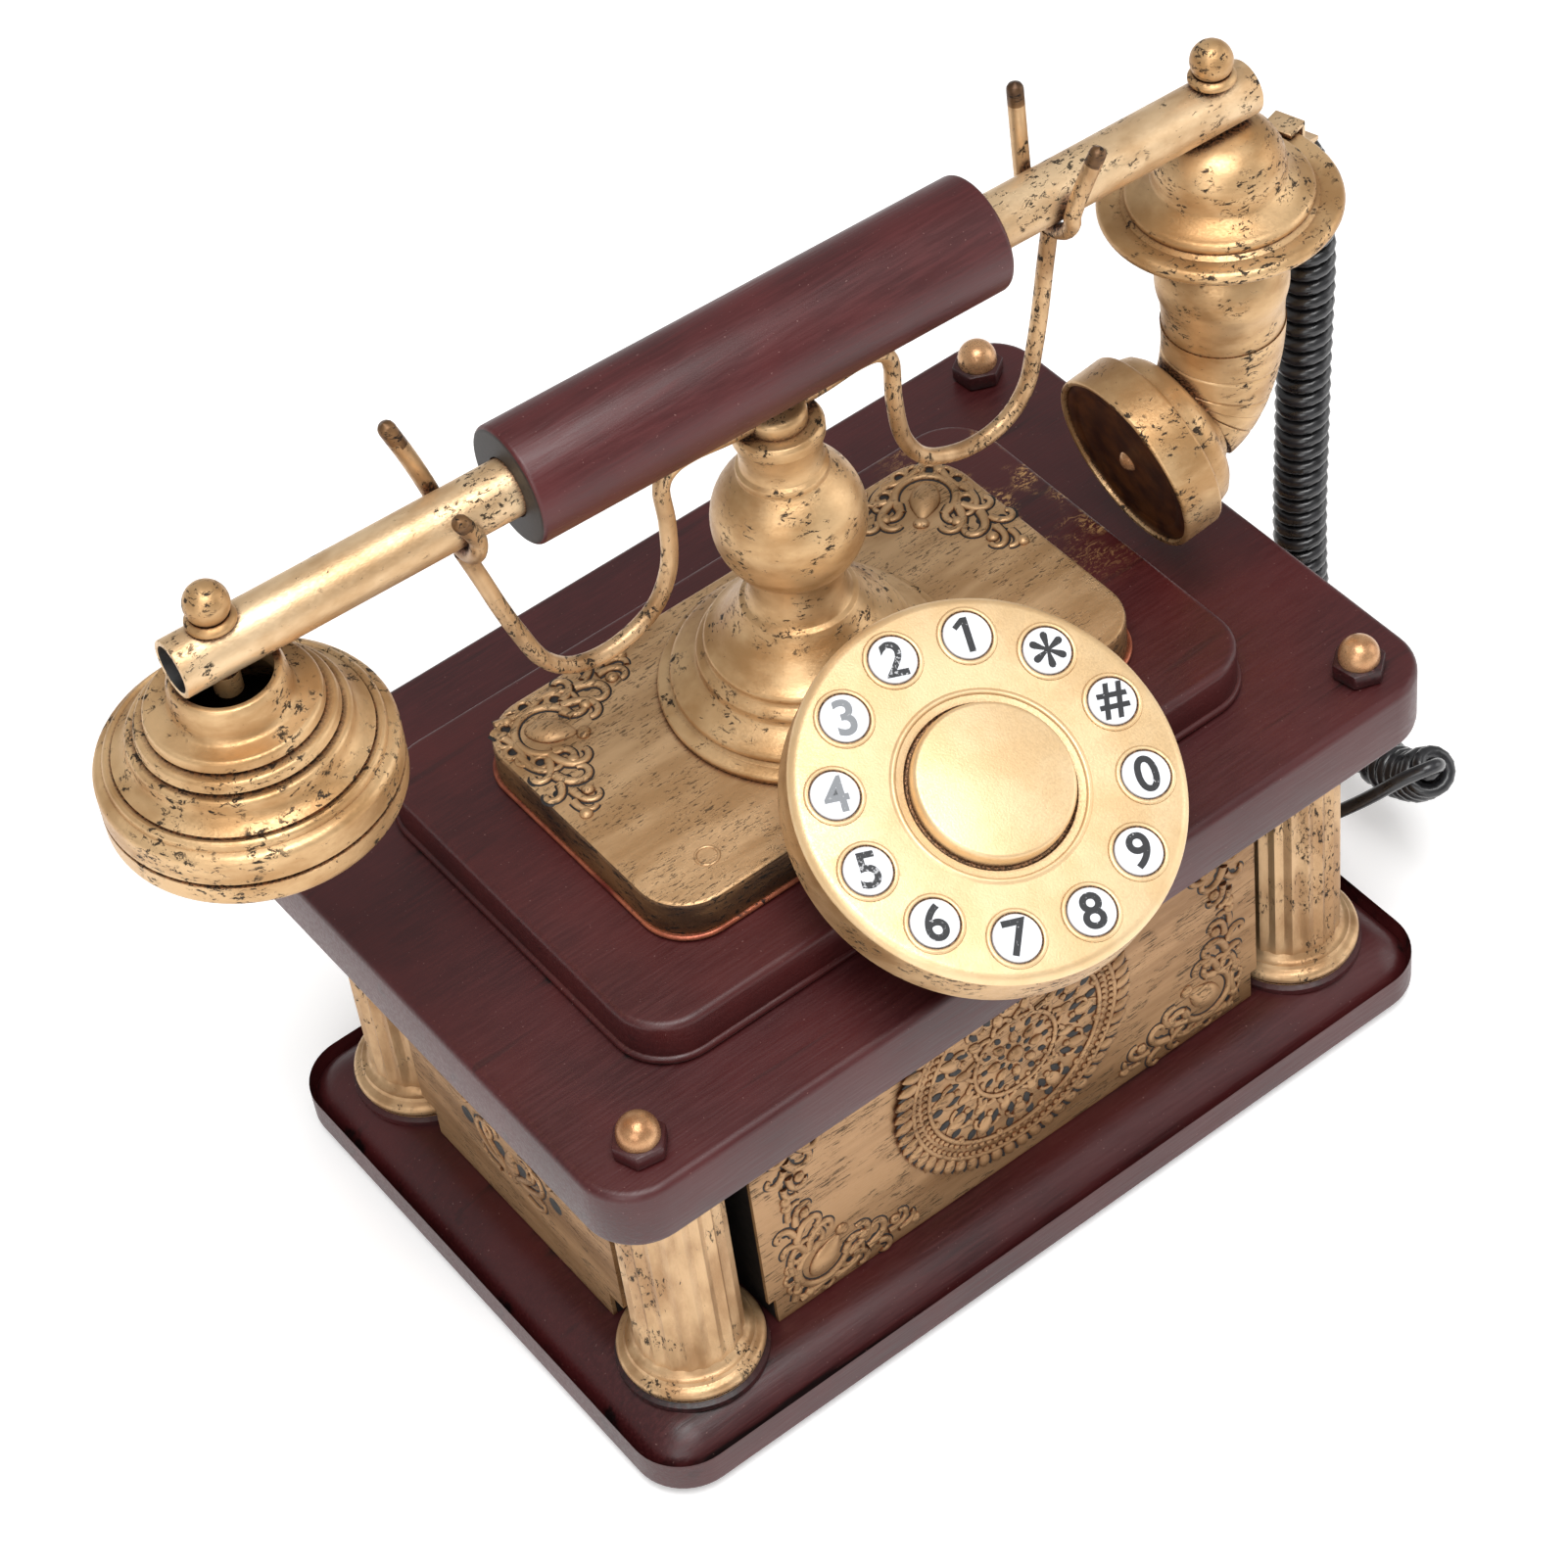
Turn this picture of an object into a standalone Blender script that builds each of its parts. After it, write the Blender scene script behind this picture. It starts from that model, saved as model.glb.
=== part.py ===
# French-style cradle telephone: two boards on four columns with a panelled case between
# them, a turned post that carries a wire cradle, a push-button dial, and a handset.
# Metres, +Z up, front towards -Y, earpiece end of the handset towards -X.
# The origin is the centre of the base board's underside.

import math

import bmesh
import bpy
from mathutils import Matrix, Vector

# Clearances
gap = 0.0003
slide_gap = 0.0005

# Boards
board_width = 0.170
board_depth = 0.116
board_corner = 0.010
board_edge = 0.0012
base_thickness = 0.012
case_height = 0.058
deck_thickness = 0.013

# Columns and cap nuts
column_inset_x = 0.0186
column_inset_y = 0.0183
column_x = board_width / 2 - column_inset_x
column_y = board_depth / 2 - column_inset_y
column_radius = 0.0095
column_foot_radius = 0.0132
column_foot_height = 0.0052
dowel_radius = 0.004
dowel_length = 0.006
nut_inset_x = 0.011
nut_inset_y = 0.0084
nut_across_flats = 0.008
nut_height = 0.0032
nut_dome_radius = 0.0039
stud_radius = 0.0025
stud_length = 0.009

# Case
panel_thickness = 0.0008
liner_thickness = 0.0012
front_half_width = column_x - 0.0124
front_face = column_y + 0.0058
side_half_depth = column_y - 0.0097
side_face = column_x + 0.0064
foot_clearance = 0.0006
medallion_radius = 0.0258
medallion_thickness = 0.0012
bell_hole_radius = 0.002

# Stack on the deck: plinth, plate and post share one axis
stack_x = -0.0022
stack_y = -0.0018
plinth_width = 0.1264
plinth_depth = 0.080
plinth_height = 0.0087
plinth_corner = 0.011
plate_width = 0.098
plate_depth = 0.0572
plate_height = 0.0077
plate_corner = 0.0095
post_foot_radius = 0.0248
post_ball_radius = 0.01245
post_ball_height = 0.0359
post_height = 0.0561
post_recess = 0.0015
rod_radius = 0.0016
rod_collar_radius = 0.0045
spring_radius = 0.0036
spring_wire = 0.0005

# Levels that follow from the sizes above
case_floor = base_thickness
case_roof = base_thickness + case_height
deck_top = case_roof + deck_thickness
plinth_floor = deck_top + gap
plinth_top = plinth_floor + plinth_height
plate_floor = plinth_top + gap
plate_top = plate_floor + plate_height
post_floor = plate_top + gap
post_top = post_floor + post_height
cradle_seat = post_top - post_recess

# Cradle
wire_radius = 0.0014
cradle_hub_radius = 0.0050
cradle_hub_height = 0.0047
cradle_yaw = math.radians(-2.5)
cradle_rise = 0.004
fork_left_x = -0.0558
fork_right_x = 0.0530

# Dial
dial_y = stack_y - plate_depth / 2 - 0.019
dial_z = plate_top + 0.012
dial_tilt = math.radians(26.8)
dial_radius = 0.0319
dial_depth = 0.009
dial_wall = 0.0015
dial_plate = 0.0025
hub_radius = 0.013
hub_rise = 0.003
key_circle = 0.0249
key_radius = 0.0039
key_first_angle = math.radians(61.6)
key_travel = 0.0012
key_names = ("1", "2", "3", "4", "5", "6", "7", "8", "9", "0", "hash", "star")
bracket_width = 0.022
bracket_depth = 0.0088

# Handset, in a frame on its tube's axis above the post
handset_z = post_top + 0.0151
tube_left = -0.1037
tube_right = 0.0921
tube_radius = 0.0047
tube_bore = 0.0037
grip_left = -0.0465
grip_right = 0.0395
grip_radius = 0.0098
ear_x = -0.096
ear_radius = 0.0229
ear_height = 0.0258
mouth_x = 0.0865
flange_radius = 0.0202
flange_drop = 0.0198
neck_radius = 0.0102
cup_x = 0.06475
cup_drop = 0.0651
cup_radius = 0.0166
cup_tilt = math.radians(9.5)
cup_depth = 0.0149
finial_radius = 0.0035

# Cord
cord_radius = 0.0013
coil_radius = 0.0049
gland_y = 0.0055 - side_half_depth
gland_z = 0.0215
gland_reach = 0.0022

# The coil hangs from the clip on the flange and sags under the deck's right edge.
# It keeps clear of the deck, the handset and the front column when their sizes change.
deck_shift = board_width / 2 - 0.085
handset_shift = handset_z - 0.1715
front_shift = 0.0397 - column_y
coil_route = [
    (0.1063, 0.0008, 0.1465 + handset_shift),
    (0.1064, 0.0008, 0.1430 + handset_shift),
    (0.1080, 0.0009, 0.1350 + handset_shift),
    (0.1086 + 0.6 * deck_shift, 0.0008, 0.1200 + handset_shift),
    (0.1076 + deck_shift, 0.0007, 0.1000 + handset_shift),
    (0.1068 + deck_shift, 0.0006, 0.0800 + handset_shift),
    (0.1062 + deck_shift, 0.0005, 0.0600 + handset_shift),
    (0.1060 + deck_shift, -0.0005, 0.0420),
    (0.1060 + deck_shift, -0.0050, 0.0270),
    (0.1055 + deck_shift, -0.0140 + 0.5 * front_shift, 0.0185),
    (0.1045 + deck_shift, -0.0240 + front_shift, 0.0170),
    (0.1032 + deck_shift, -0.0330 + front_shift, 0.0220),
    (0.1015 + deck_shift, -0.0395 + front_shift, 0.0305),
]
tail_route = [
    (0.0998 + deck_shift, -0.0425 + front_shift, 0.0352),
    (0.0970 + deck_shift, -0.0430 + front_shift, 0.0368),
    (0.0930 + deck_shift, -0.0403 + front_shift, 0.0345),
    (0.0885 + deck_shift, -0.0362 + front_shift, 0.0295),
    (0.0835 + deck_shift, -0.0315 + front_shift, 0.0248),
    (0.0790 + deck_shift, -0.0275 + front_shift, 0.0222),
]


def make_material(name, colour, roughness, metallic):
    """A Principled material with a linear RGB base colour."""
    material = bpy.data.materials.new(name)
    material.use_nodes = True
    shader = material.node_tree.nodes["Principled BSDF"]
    shader.inputs["Base Color"].default_value = (*colour, 1.0)
    shader.inputs["Roughness"].default_value = roughness
    shader.inputs["Metallic"].default_value = metallic
    material.diffuse_color = (*colour, 1.0)
    return material


def make_empty(name, location, rotation=(0.0, 0.0, 0.0), parent=None):
    """A frame that other pieces are placed in."""
    empty = bpy.data.objects.new(name, None)
    empty.location = location
    empty.rotation_euler = rotation
    empty.parent = parent
    bpy.context.collection.objects.link(empty)
    return empty


def finish(name, bm, material, parent=None, location=(0.0, 0.0, 0.0), rotation=(0.0, 0.0, 0.0)):
    """Turn a bmesh into a named object with its faces pointing out."""
    bmesh.ops.remove_doubles(bm, verts=bm.verts, dist=0.000001)
    bmesh.ops.recalc_face_normals(bm, faces=bm.faces)
    mesh = bpy.data.meshes.new(name)
    bm.to_mesh(mesh)
    bm.free()
    mesh.shade_smooth()
    mesh.set_sharp_from_angle(angle=math.radians(35))
    piece = bpy.data.objects.new(name, mesh)
    piece.data.materials.append(material)
    piece.parent = parent
    piece.location = location
    piece.rotation_euler = rotation
    bpy.context.collection.objects.link(piece)
    return piece


def turned_mesh(profile, steps, closed):
    """Spin (radius, height) points round Z. A closed profile makes a ring with a bore."""
    bm = bmesh.new()
    verts = [bm.verts.new((radius, 0.0, height)) for radius, height in profile]
    edges = [bm.edges.new(pair) for pair in zip(verts, verts[1:])]
    if closed:
        edges.append(bm.edges.new((verts[-1], verts[0])))
    bmesh.ops.spin(
        bm,
        geom=verts + edges,
        cent=(0.0, 0.0, 0.0),
        axis=(0.0, 0.0, 1.0),
        angle=2 * math.pi,
        steps=steps,
        use_merge=True,
    )
    bmesh.ops.remove_doubles(bm, verts=bm.verts, dist=0.000001)
    return bm


def turned(name, profile, steps, material, closed=False, **place):
    return finish(name, turned_mesh(profile, steps, closed), material, **place)


def ring_points(width, depth, corner, height, corner_steps):
    """One rounded rectangle, counter-clockwise."""
    points = []
    for quarter, (sign_x, sign_y) in enumerate(((1, 1), (-1, 1), (-1, -1), (1, -1))):
        centre_x = sign_x * (width / 2 - corner)
        centre_y = sign_y * (depth / 2 - corner)
        for step in range(corner_steps + 1):
            angle = math.radians(90 * quarter + 90 * step / corner_steps)
            x = centre_x + corner * math.cos(angle)
            y = centre_y + corner * math.sin(angle)
            points.append((x, y, height))
    return points


def board(name, levels, material, corner_steps=5, **place):
    """A solid whose outline follows (width, depth, corner, height) levels, bottom to top."""
    bm = bmesh.new()
    loops = []
    for width, depth, corner, height in levels:
        verts = [bm.verts.new(p) for p in ring_points(width, depth, corner, height, corner_steps)]
        loops.append([bm.edges.new((verts[i - 1], verts[i])) for i in range(len(verts))])
    for lower, upper in zip(loops, loops[1:]):
        bmesh.ops.bridge_loops(bm, edges=lower + upper)
    bmesh.ops.edgeloop_fill(bm, edges=loops[0])
    bmesh.ops.edgeloop_fill(bm, edges=loops[-1])
    return finish(name, bm, material, **place)


def plank_levels(width, depth, corner, floor, thickness, edge):
    """A board with both edges eased by a small chamfer."""
    inner = (width - 2 * edge, depth - 2 * edge, corner - edge)
    outer = (width, depth, corner)
    return [
        (*inner, floor),
        (*outer, floor + edge),
        (*outer, floor + thickness - edge),
        (*inner, floor + thickness),
    ]


def prism(name, outline, direction, material, **place):
    """Extrude a flat outline of 3D points along a direction."""
    bm = bmesh.new()
    face = bm.faces.new([bm.verts.new(point) for point in outline])
    extruded = bmesh.ops.extrude_face_region(bm, geom=[face])
    moved = [item for item in extruded["geom"] if isinstance(item, bmesh.types.BMVert)]
    bmesh.ops.translate(bm, verts=moved, vec=direction)
    return finish(name, bm, material, **place)


def block(name, size, centre, material, **place):
    """A box with eased edges."""
    bm = bmesh.new()
    bmesh.ops.create_cube(bm, size=1.0)
    bmesh.ops.scale(bm, verts=bm.verts, vec=size)
    bmesh.ops.translate(bm, verts=bm.verts, vec=centre)
    bmesh.ops.bevel(
        bm, geom=list(bm.edges), offset=min(size) * 0.12, segments=1, affect="EDGES"
    )
    return finish(name, bm, material, **place)


def smooth_path(points, steps):
    """Points on a smooth curve (Catmull-Rom) through the given ones."""
    knots = [Vector(point) for point in points]
    padded = [2 * knots[0] - knots[1], *knots, 2 * knots[-1] - knots[-2]]
    path = []
    for before, start, end, after in zip(padded, padded[1:], padded[2:], padded[3:]):
        for step in range(steps):
            t = step / steps
            path.append(
                0.5
                * (
                    2 * start
                    + (end - before) * t
                    + (2 * before - 5 * start + 4 * end - after) * t**2
                    + (3 * start - before - 3 * end + after) * t**3
                )
            )
    path.append(knots[-1])
    return path


def wire(name, path, radius, material, resolution=2, **place):
    """A round bar along a path, with closed ends."""
    curve = bpy.data.curves.new(name, "CURVE")
    curve.dimensions = "3D"
    curve.bevel_depth = radius
    curve.bevel_resolution = resolution
    curve.use_fill_caps = True
    spline = curve.splines.new("POLY")
    spline.points.add(len(path) - 1)
    for point, position in zip(spline.points, path):
        point.co = (*position, 1.0)
    curve.materials.append(material)
    piece = bpy.data.objects.new(name, curve)
    piece.parent = place.get("parent")
    piece.location = place.get("location", (0.0, 0.0, 0.0))
    bpy.context.collection.objects.link(piece)
    return piece


def cutter_of(name, bodies, parent=None, location=(0.0, 0.0, 0.0)):
    """One hidden cutter made of cylinders: (centre, axis, radius, length, sides)."""
    bm = bmesh.new()
    for centre, axis, radius, length, sides in bodies:
        turn = Vector((0, 0, 1)).rotation_difference(Vector(axis)).to_matrix().to_4x4()
        bmesh.ops.create_cone(
            bm,
            cap_ends=True,
            segments=sides,
            radius1=radius,
            radius2=radius,
            depth=length,
            matrix=Matrix.Translation(centre) @ turn,
        )
    mesh = bpy.data.meshes.new(name)
    bm.to_mesh(mesh)
    bm.free()
    cutter = bpy.data.objects.new(name, mesh)
    cutter.hide_render = True
    cutter.display_type = "WIRE"
    cutter.parent = parent
    cutter.location = location
    bpy.context.collection.objects.link(cutter)
    return cutter


def cut(piece, cutter):
    modifier = piece.modifiers.new(cutter.name, "BOOLEAN")
    modifier.operation = "DIFFERENCE"
    modifier.solver = "EXACT"
    modifier.object = cutter


def corner_places(x, y):
    """The four corners with their names: front or rear, left or right."""
    return {
        "front_left": (-x, -y),
        "front_right": (x, -y),
        "rear_left": (-x, y),
        "rear_right": (x, y),
    }


def make_boards(maroon, places):
    """Base and deck boards with blind dowel holes, and the deck's stud and rod holes."""
    base = board(
        "base_board",
        plank_levels(board_width, board_depth, board_corner, 0.0, base_thickness, board_edge),
        maroon,
    )
    deck = board(
        "deck_board",
        plank_levels(
            board_width, board_depth, board_corner, case_roof, deck_thickness, board_edge
        ),
        maroon,
    )
    up = (0, 0, 1)
    hole = dowel_radius + gap
    depth = dowel_length + gap
    base_holes = [((x, y, case_floor), up, hole, 2 * depth, 16) for x, y in places.values()]
    cut(base, cutter_of("base_holes", base_holes))
    deck_holes = [((x, y, case_roof), up, hole, 2 * depth, 16) for x, y in places.values()]
    nuts = corner_places(board_width / 2 - nut_inset_x, board_depth / 2 - nut_inset_y)
    stud_hole = stud_radius + gap
    for x, y in nuts.values():
        deck_holes.append(((x, y, deck_top), up, stud_hole, 2 * (stud_length + gap), 12))
    middle = (stack_x, stack_y, case_roof + deck_thickness / 2)
    deck_holes.append((middle, up, rod_radius + slide_gap, 2 * deck_thickness, 12))
    cut(deck, cutter_of("deck_holes", deck_holes))
    return nuts


def make_columns(gold, places):
    """Four turned columns with a moulded foot and capital and a dowel at each end."""
    half = case_height / 2 - gap
    foot = column_foot_radius
    shaft = column_radius
    bead = column_foot_height
    lower = [
        (0.0, half + dowel_length),
        (dowel_radius, half + dowel_length),
        (dowel_radius, half),
        (foot, half),
        (foot, half - 0.7 * bead),
        (shaft + 0.0015, half - bead),
        (shaft, half - 1.6 * bead),
    ]
    profile = lower + [(radius, -height) for radius, height in reversed(lower)]
    for name, (x, y) in places.items():
        centre = (x, y, case_floor + case_height / 2)
        turned("column_" + name, profile, 16, gold, location=centre)


def make_cap_nuts(gold, nuts):
    """Acorn nuts: a threaded stud in the deck, a hexagon, and a dome."""
    flats = nut_across_flats / 2 / math.cos(math.radians(30))
    dome_floor = nut_height + 0.0004
    profile = [
        (0.0, -stud_length),
        (stud_radius, -stud_length),
        (stud_radius, gap),
        (flats, gap),
        (flats, nut_height),
        (nut_dome_radius - 0.0003, dome_floor),
    ]
    for angle in (10, 30, 50, 70):
        turn = math.radians(angle)
        radius = nut_dome_radius * math.cos(turn)
        profile.append((radius, dome_floor + 0.0006 + nut_dome_radius * math.sin(turn)))
    profile.append((0.0, dome_floor + 0.0006 + nut_dome_radius))
    for name, (x, y) in nuts.items():
        nut = turned("cap_nut_" + name, profile, 12, gold, location=(x, y, deck_top))
        for vert in nut.data.vertices:
            radius = vert.co.xy.length
            if radius > 0.98 * flats and round(math.degrees(math.atan2(*vert.co.yx)) / 30) % 2:
                vert.co.xy = vert.co.xy * math.cos(math.radians(30))


def notched_outline(half_width, notch_width, notch_height):
    """A panel outline with its four corners cut away, in its own plane."""
    low = case_floor + gap
    high = case_roof - gap
    inner = half_width - notch_width
    return [
        (-inner, low),
        (inner, low),
        (inner, low + notch_height),
        (half_width, low + notch_height),
        (half_width, high - notch_height),
        (inner, high - notch_height),
        (inner, high),
        (-inner, high),
        (-inner, high - notch_height),
        (-half_width, high - notch_height),
        (-half_width, low + notch_height),
        (-inner, low + notch_height),
    ]


def make_case(gold, black):
    """A cross-shaped black liner with four sheet panels on its faces."""
    reach = column_foot_radius + foot_clearance
    notch_height = column_foot_height + 2 * foot_clearance
    front_notch = front_half_width - (column_x - reach)
    side_notch = side_half_depth - (column_y - reach)
    liner_x = side_face - panel_thickness - gap
    liner_y = front_face - panel_thickness - gap
    inner_x = front_half_width - front_notch
    inner_y = side_half_depth - side_notch
    quarter = [(inner_x, liner_y), (inner_x, inner_y), (liner_x, inner_y)]
    cross = quarter + [(x, -y) for x, y in reversed(quarter)]
    cross += [(-x, -y) for x, y in quarter] + [(-x, y) for x, y in reversed(quarter)]
    bm = bmesh.new()
    verts = [bm.verts.new((x, y, case_floor + gap)) for x, y in cross]
    edges = [bm.edges.new((verts[i - 1], verts[i])) for i in range(len(verts))]
    wall = bmesh.ops.extrude_edge_only(bm, edges=edges)
    moved = [item for item in wall["geom"] if isinstance(item, bmesh.types.BMVert)]
    bmesh.ops.translate(bm, verts=moved, vec=(0, 0, case_height - 2 * gap))
    liner = finish("case_liner", bm, black)
    shell = liner.modifiers.new("wall", "SOLIDIFY")
    shell.thickness = liner_thickness
    shell.offset = -1
    shell.use_even_offset = True

    front = notched_outline(front_half_width, front_notch, notch_height)
    side = notched_outline(side_half_depth, side_notch, notch_height)
    prism("front_panel", [(x, -front_face, z) for x, z in front], (0, panel_thickness, 0), gold)
    rear = prism(
        "rear_panel", [(x, front_face, z) for x, z in front], (0, -panel_thickness, 0), gold
    )
    prism("left_panel", [(-side_face, y, z) for y, z in side], (panel_thickness, 0, 0), gold)
    right = prism(
        "right_panel", [(side_face, y, z) for y, z in side], (-panel_thickness, 0, 0), gold
    )
    middle = case_floor + case_height / 2
    bell_holes = [
        ((column * 0.008, front_face, middle + row * 0.008), (0, 1, 0), bell_hole_radius, 0.01, 8)
        for column in (-1, 0, 1)
        for row in (-1, 0, 1)
    ]
    holes = cutter_of("bell_holes", bell_holes)
    gland_hole = cutter_of(
        "gland_hole",
        [((side_face, gland_y, gland_z), (1, 0, 0), cord_radius + 0.0013 + gap, 0.01, 12)],
    )
    cut(rear, holes)
    cut(liner, holes)
    cut(right, gland_hole)
    cut(liner, gland_hole)


def make_medallion(gold):
    """A round lace medallion plate with raised rings, standing on the front panel."""
    outer = medallion_radius
    top = medallion_thickness
    profile = [
        (0.0, 0.0),
        (outer, 0.0),
        (outer, 0.6 * top),
        (0.86 * outer, 0.6 * top),
        (0.84 * outer, top),
        (0.78 * outer, top),
        (0.76 * outer, 0.6 * top),
        (0.26 * outer, 0.6 * top),
        (0.24 * outer, top),
        (0.0, top),
    ]
    turned(
        "front_medallion",
        profile,
        32,
        gold,
        location=(0.0, -front_face - gap, case_floor + case_height / 2),
        rotation=(math.radians(90), 0.0, 0.0),
    )


def make_internals(green, black, brass):
    """Inside the case: network board, bell and coil, and the hook switch under the deck."""
    floor = case_floor + gap
    board_size = (front_half_width + 0.006, 2 * side_half_depth - 0.020, 0.0016)
    block("circuit_board", board_size, (0.024 - front_half_width, 0.0, floor + 0.0008), green)
    bell = [
        (0.0, 0.0),
        (0.0035, 0.0),
        (0.0035, 0.012),
        (0.0150, 0.013),
        (0.0165, 0.009),
        (0.0172, 0.009),
        (0.0160, 0.0148),
        (0.0100, 0.0188),
        (0.0, 0.0205),
    ]
    turned("ringer_gong", bell, 20, brass, location=(0.032, 0.012, floor))
    block("ringer_coil", (0.016, 0.012, 0.014), (0.032, -0.022, floor + 0.007), black)
    switch_top = case_roof - gap
    pad_top = switch_top - 0.008
    left = stack_x - 0.003
    right = stack_x + 0.014
    front = stack_y - 0.004
    outline = [
        (left, front, pad_top - 0.002),
        (right, front, pad_top - 0.002),
        (right, front, switch_top),
        (stack_x + 0.004, front, switch_top),
        (stack_x + 0.004, front, pad_top),
        (left, front, pad_top),
    ]
    prism("hook_switch", outline, (0, 0.008, 0), black)
    return pad_top


def make_stack(maroon, gold):
    """Plinth board with a bead at its foot, and the rolled-edge plate on it."""
    hole = rod_radius + slide_gap
    plinth = board(
        "plinth_board",
        [
            (plinth_width, plinth_depth, plinth_corner, 0.0),
            (plinth_width, plinth_depth, plinth_corner, 0.0011),
            (plinth_width - 0.0014, plinth_depth - 0.0014, plinth_corner - 0.0007, 0.0017),
            (
                plinth_width - 0.0014,
                plinth_depth - 0.0014,
                plinth_corner - 0.0007,
                plinth_height - board_edge,
            ),
            (
                plinth_width - 0.0014 - 2 * board_edge,
                plinth_depth - 0.0014 - 2 * board_edge,
                plinth_corner - 0.0007 - board_edge,
                plinth_height,
            ),
        ],
        maroon,
        location=(stack_x, stack_y, plinth_floor),
    )
    plate = board(
        "top_plate",
        [
            (plate_width, plate_depth, plate_corner, 0.0),
            (plate_width, plate_depth, plate_corner, 0.0007),
            (plate_width - 0.0012, plate_depth - 0.0012, plate_corner - 0.0006, 0.0012),
            (
                plate_width - 0.0016,
                plate_depth - 0.0016,
                plate_corner - 0.0008,
                plate_height - 0.0010,
            ),
            (
                plate_width - 0.0036,
                plate_depth - 0.0036,
                plate_corner - 0.0018,
                plate_height,
            ),
        ],
        gold,
        location=(stack_x, stack_y, plate_floor),
    )
    bore = cutter_of(
        "rod_bore",
        [((stack_x, stack_y, plate_floor), (0, 0, 1), hole, 4 * plinth_height, 12)],
    )
    cut(plinth, bore)
    cut(plate, bore)


def make_post(gold):
    """The turned post: stepped foot, cove, ball and collar, bored for the hook rod."""
    top = post_height
    foot = post_foot_radius
    ball_z = post_ball_height
    bore = rod_radius + slide_gap
    cavity = spring_radius + spring_wire + 0.0014
    hub_seat = cradle_hub_radius + gap
    seat_floor = top - post_recess - gap
    profile = [
        (cavity, 0.0),
        (foot, 0.0),
        (foot, 0.0012),
        (foot - 0.0026, 0.0019),
        (foot - 0.0026, 0.0036),
        (foot - 0.0040, 0.0052),
        (foot - 0.0070, 0.0060),
        (foot - 0.0076, 0.0092),
        (foot - 0.0102, 0.0124),
        (foot - 0.0140, 0.0158),
        (foot - 0.0154, 0.0188),
        (0.0084, 0.0192),
        (0.0076, 0.0225),
    ]
    for angle in (-52, -28, -4, 20, 44, 56):
        turn = math.radians(angle)
        profile.append((post_ball_radius * math.cos(turn), ball_z + post_ball_radius * math.sin(turn)))
    profile += [
        (0.0073, ball_z + 0.0106),
        (0.0073, ball_z + 0.0116),
        (0.0066, ball_z + 0.0124),
        (0.0072, top - 0.0012),
        (0.0069, top),
        (hub_seat, top),
        (hub_seat, seat_floor),
        (bore, seat_floor),
        (bore, ball_z + 0.0060),
        (cavity, ball_z + 0.0050),
    ]
    turned(
        "post", profile, 24, gold, closed=True, location=(stack_x, stack_y, post_floor)
    )


def make_cradle(gold, steel, pad_top):
    """Hub with its hook rod, the return spring, two bent wires and two forks."""
    seat = cradle_seat
    frame = make_empty("cradle_frame", (stack_x, stack_y, seat), (0.0, 0.0, cradle_yaw))
    rod_foot = pad_top + gap - seat
    collar = post_floor + post_ball_height - 0.0010 - cradle_rise - seat
    profile = [
        (0.0, rod_foot),
        (rod_radius, rod_foot),
        (rod_radius, collar - 0.0015),
        (rod_collar_radius, collar - 0.0015),
        (rod_collar_radius, collar),
        (rod_radius, collar),
        (rod_radius, 0.0),
        (cradle_hub_radius, 0.0),
        (cradle_hub_radius, cradle_hub_height - 0.0008),
        (cradle_hub_radius - 0.0010, cradle_hub_height),
        (0.0, cradle_hub_height),
    ]
    turned("cradle_hub", profile, 16, gold, parent=frame)

    spring_floor = post_floor + gap + spring_wire
    spring_top = seat + collar - 0.0015 - gap - spring_wire
    turns = 6
    steps = 8
    coil = []
    for step in range(turns * steps + 1):
        angle = 2 * math.pi * step / steps
        height = spring_floor + (spring_top - spring_floor) * step / (turns * steps)
        coil.append(
            (
                stack_x + spring_radius * math.cos(angle),
                stack_y + spring_radius * math.sin(angle),
                height,
            )
        )
    wire("hook_spring", coil, spring_wire, steel, resolution=0)

    # Heights of the bent wire are taken from the hub's seat, sideways runs from the post.
    fork_z = handset_z - tube_radius - gap - wire_radius - seat
    shape = [
        (cradle_hub_radius + gap, 0.0034),
        (0.0095, 0.0036),
        (0.0150, 0.0042),
        (0.0192, 0.0036),
        (0.0215, 0.0006),
        (0.0214, -0.0070),
        (0.0223, -0.0155),
        (0.0256, -0.0218),
        (0.0312, -0.0250),
        (0.0372, -0.0257),
        (0.0426, -0.0239),
        (0.0466, -0.0193),
        (0.0486, -0.0128),
        (0.0502, -0.0055),
    ]
    for side, name, fork_x in ((-1, "left", fork_left_x), (1, "right", fork_right_x)):
        reach = abs(fork_x)
        run = [(side * x, 0.0, z) for x, z in shape]
        run.append((side * (reach - 0.0014), 0.0, fork_z - 0.0070))
        run.append((side * reach, 0.0, fork_z - wire_radius - gap))
        wire("cradle_wire_" + name, smooth_path(run, 2), wire_radius, gold, resolution=1, parent=frame)
    make_fork("fork_left", fork_left_x, (-0.0028, 0.0062), (-0.0042, 0.0145), frame, gold)
    make_fork("fork_right", fork_right_x, (0.0040, 0.0105), (0.0005, 0.0155), frame, gold)


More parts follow.
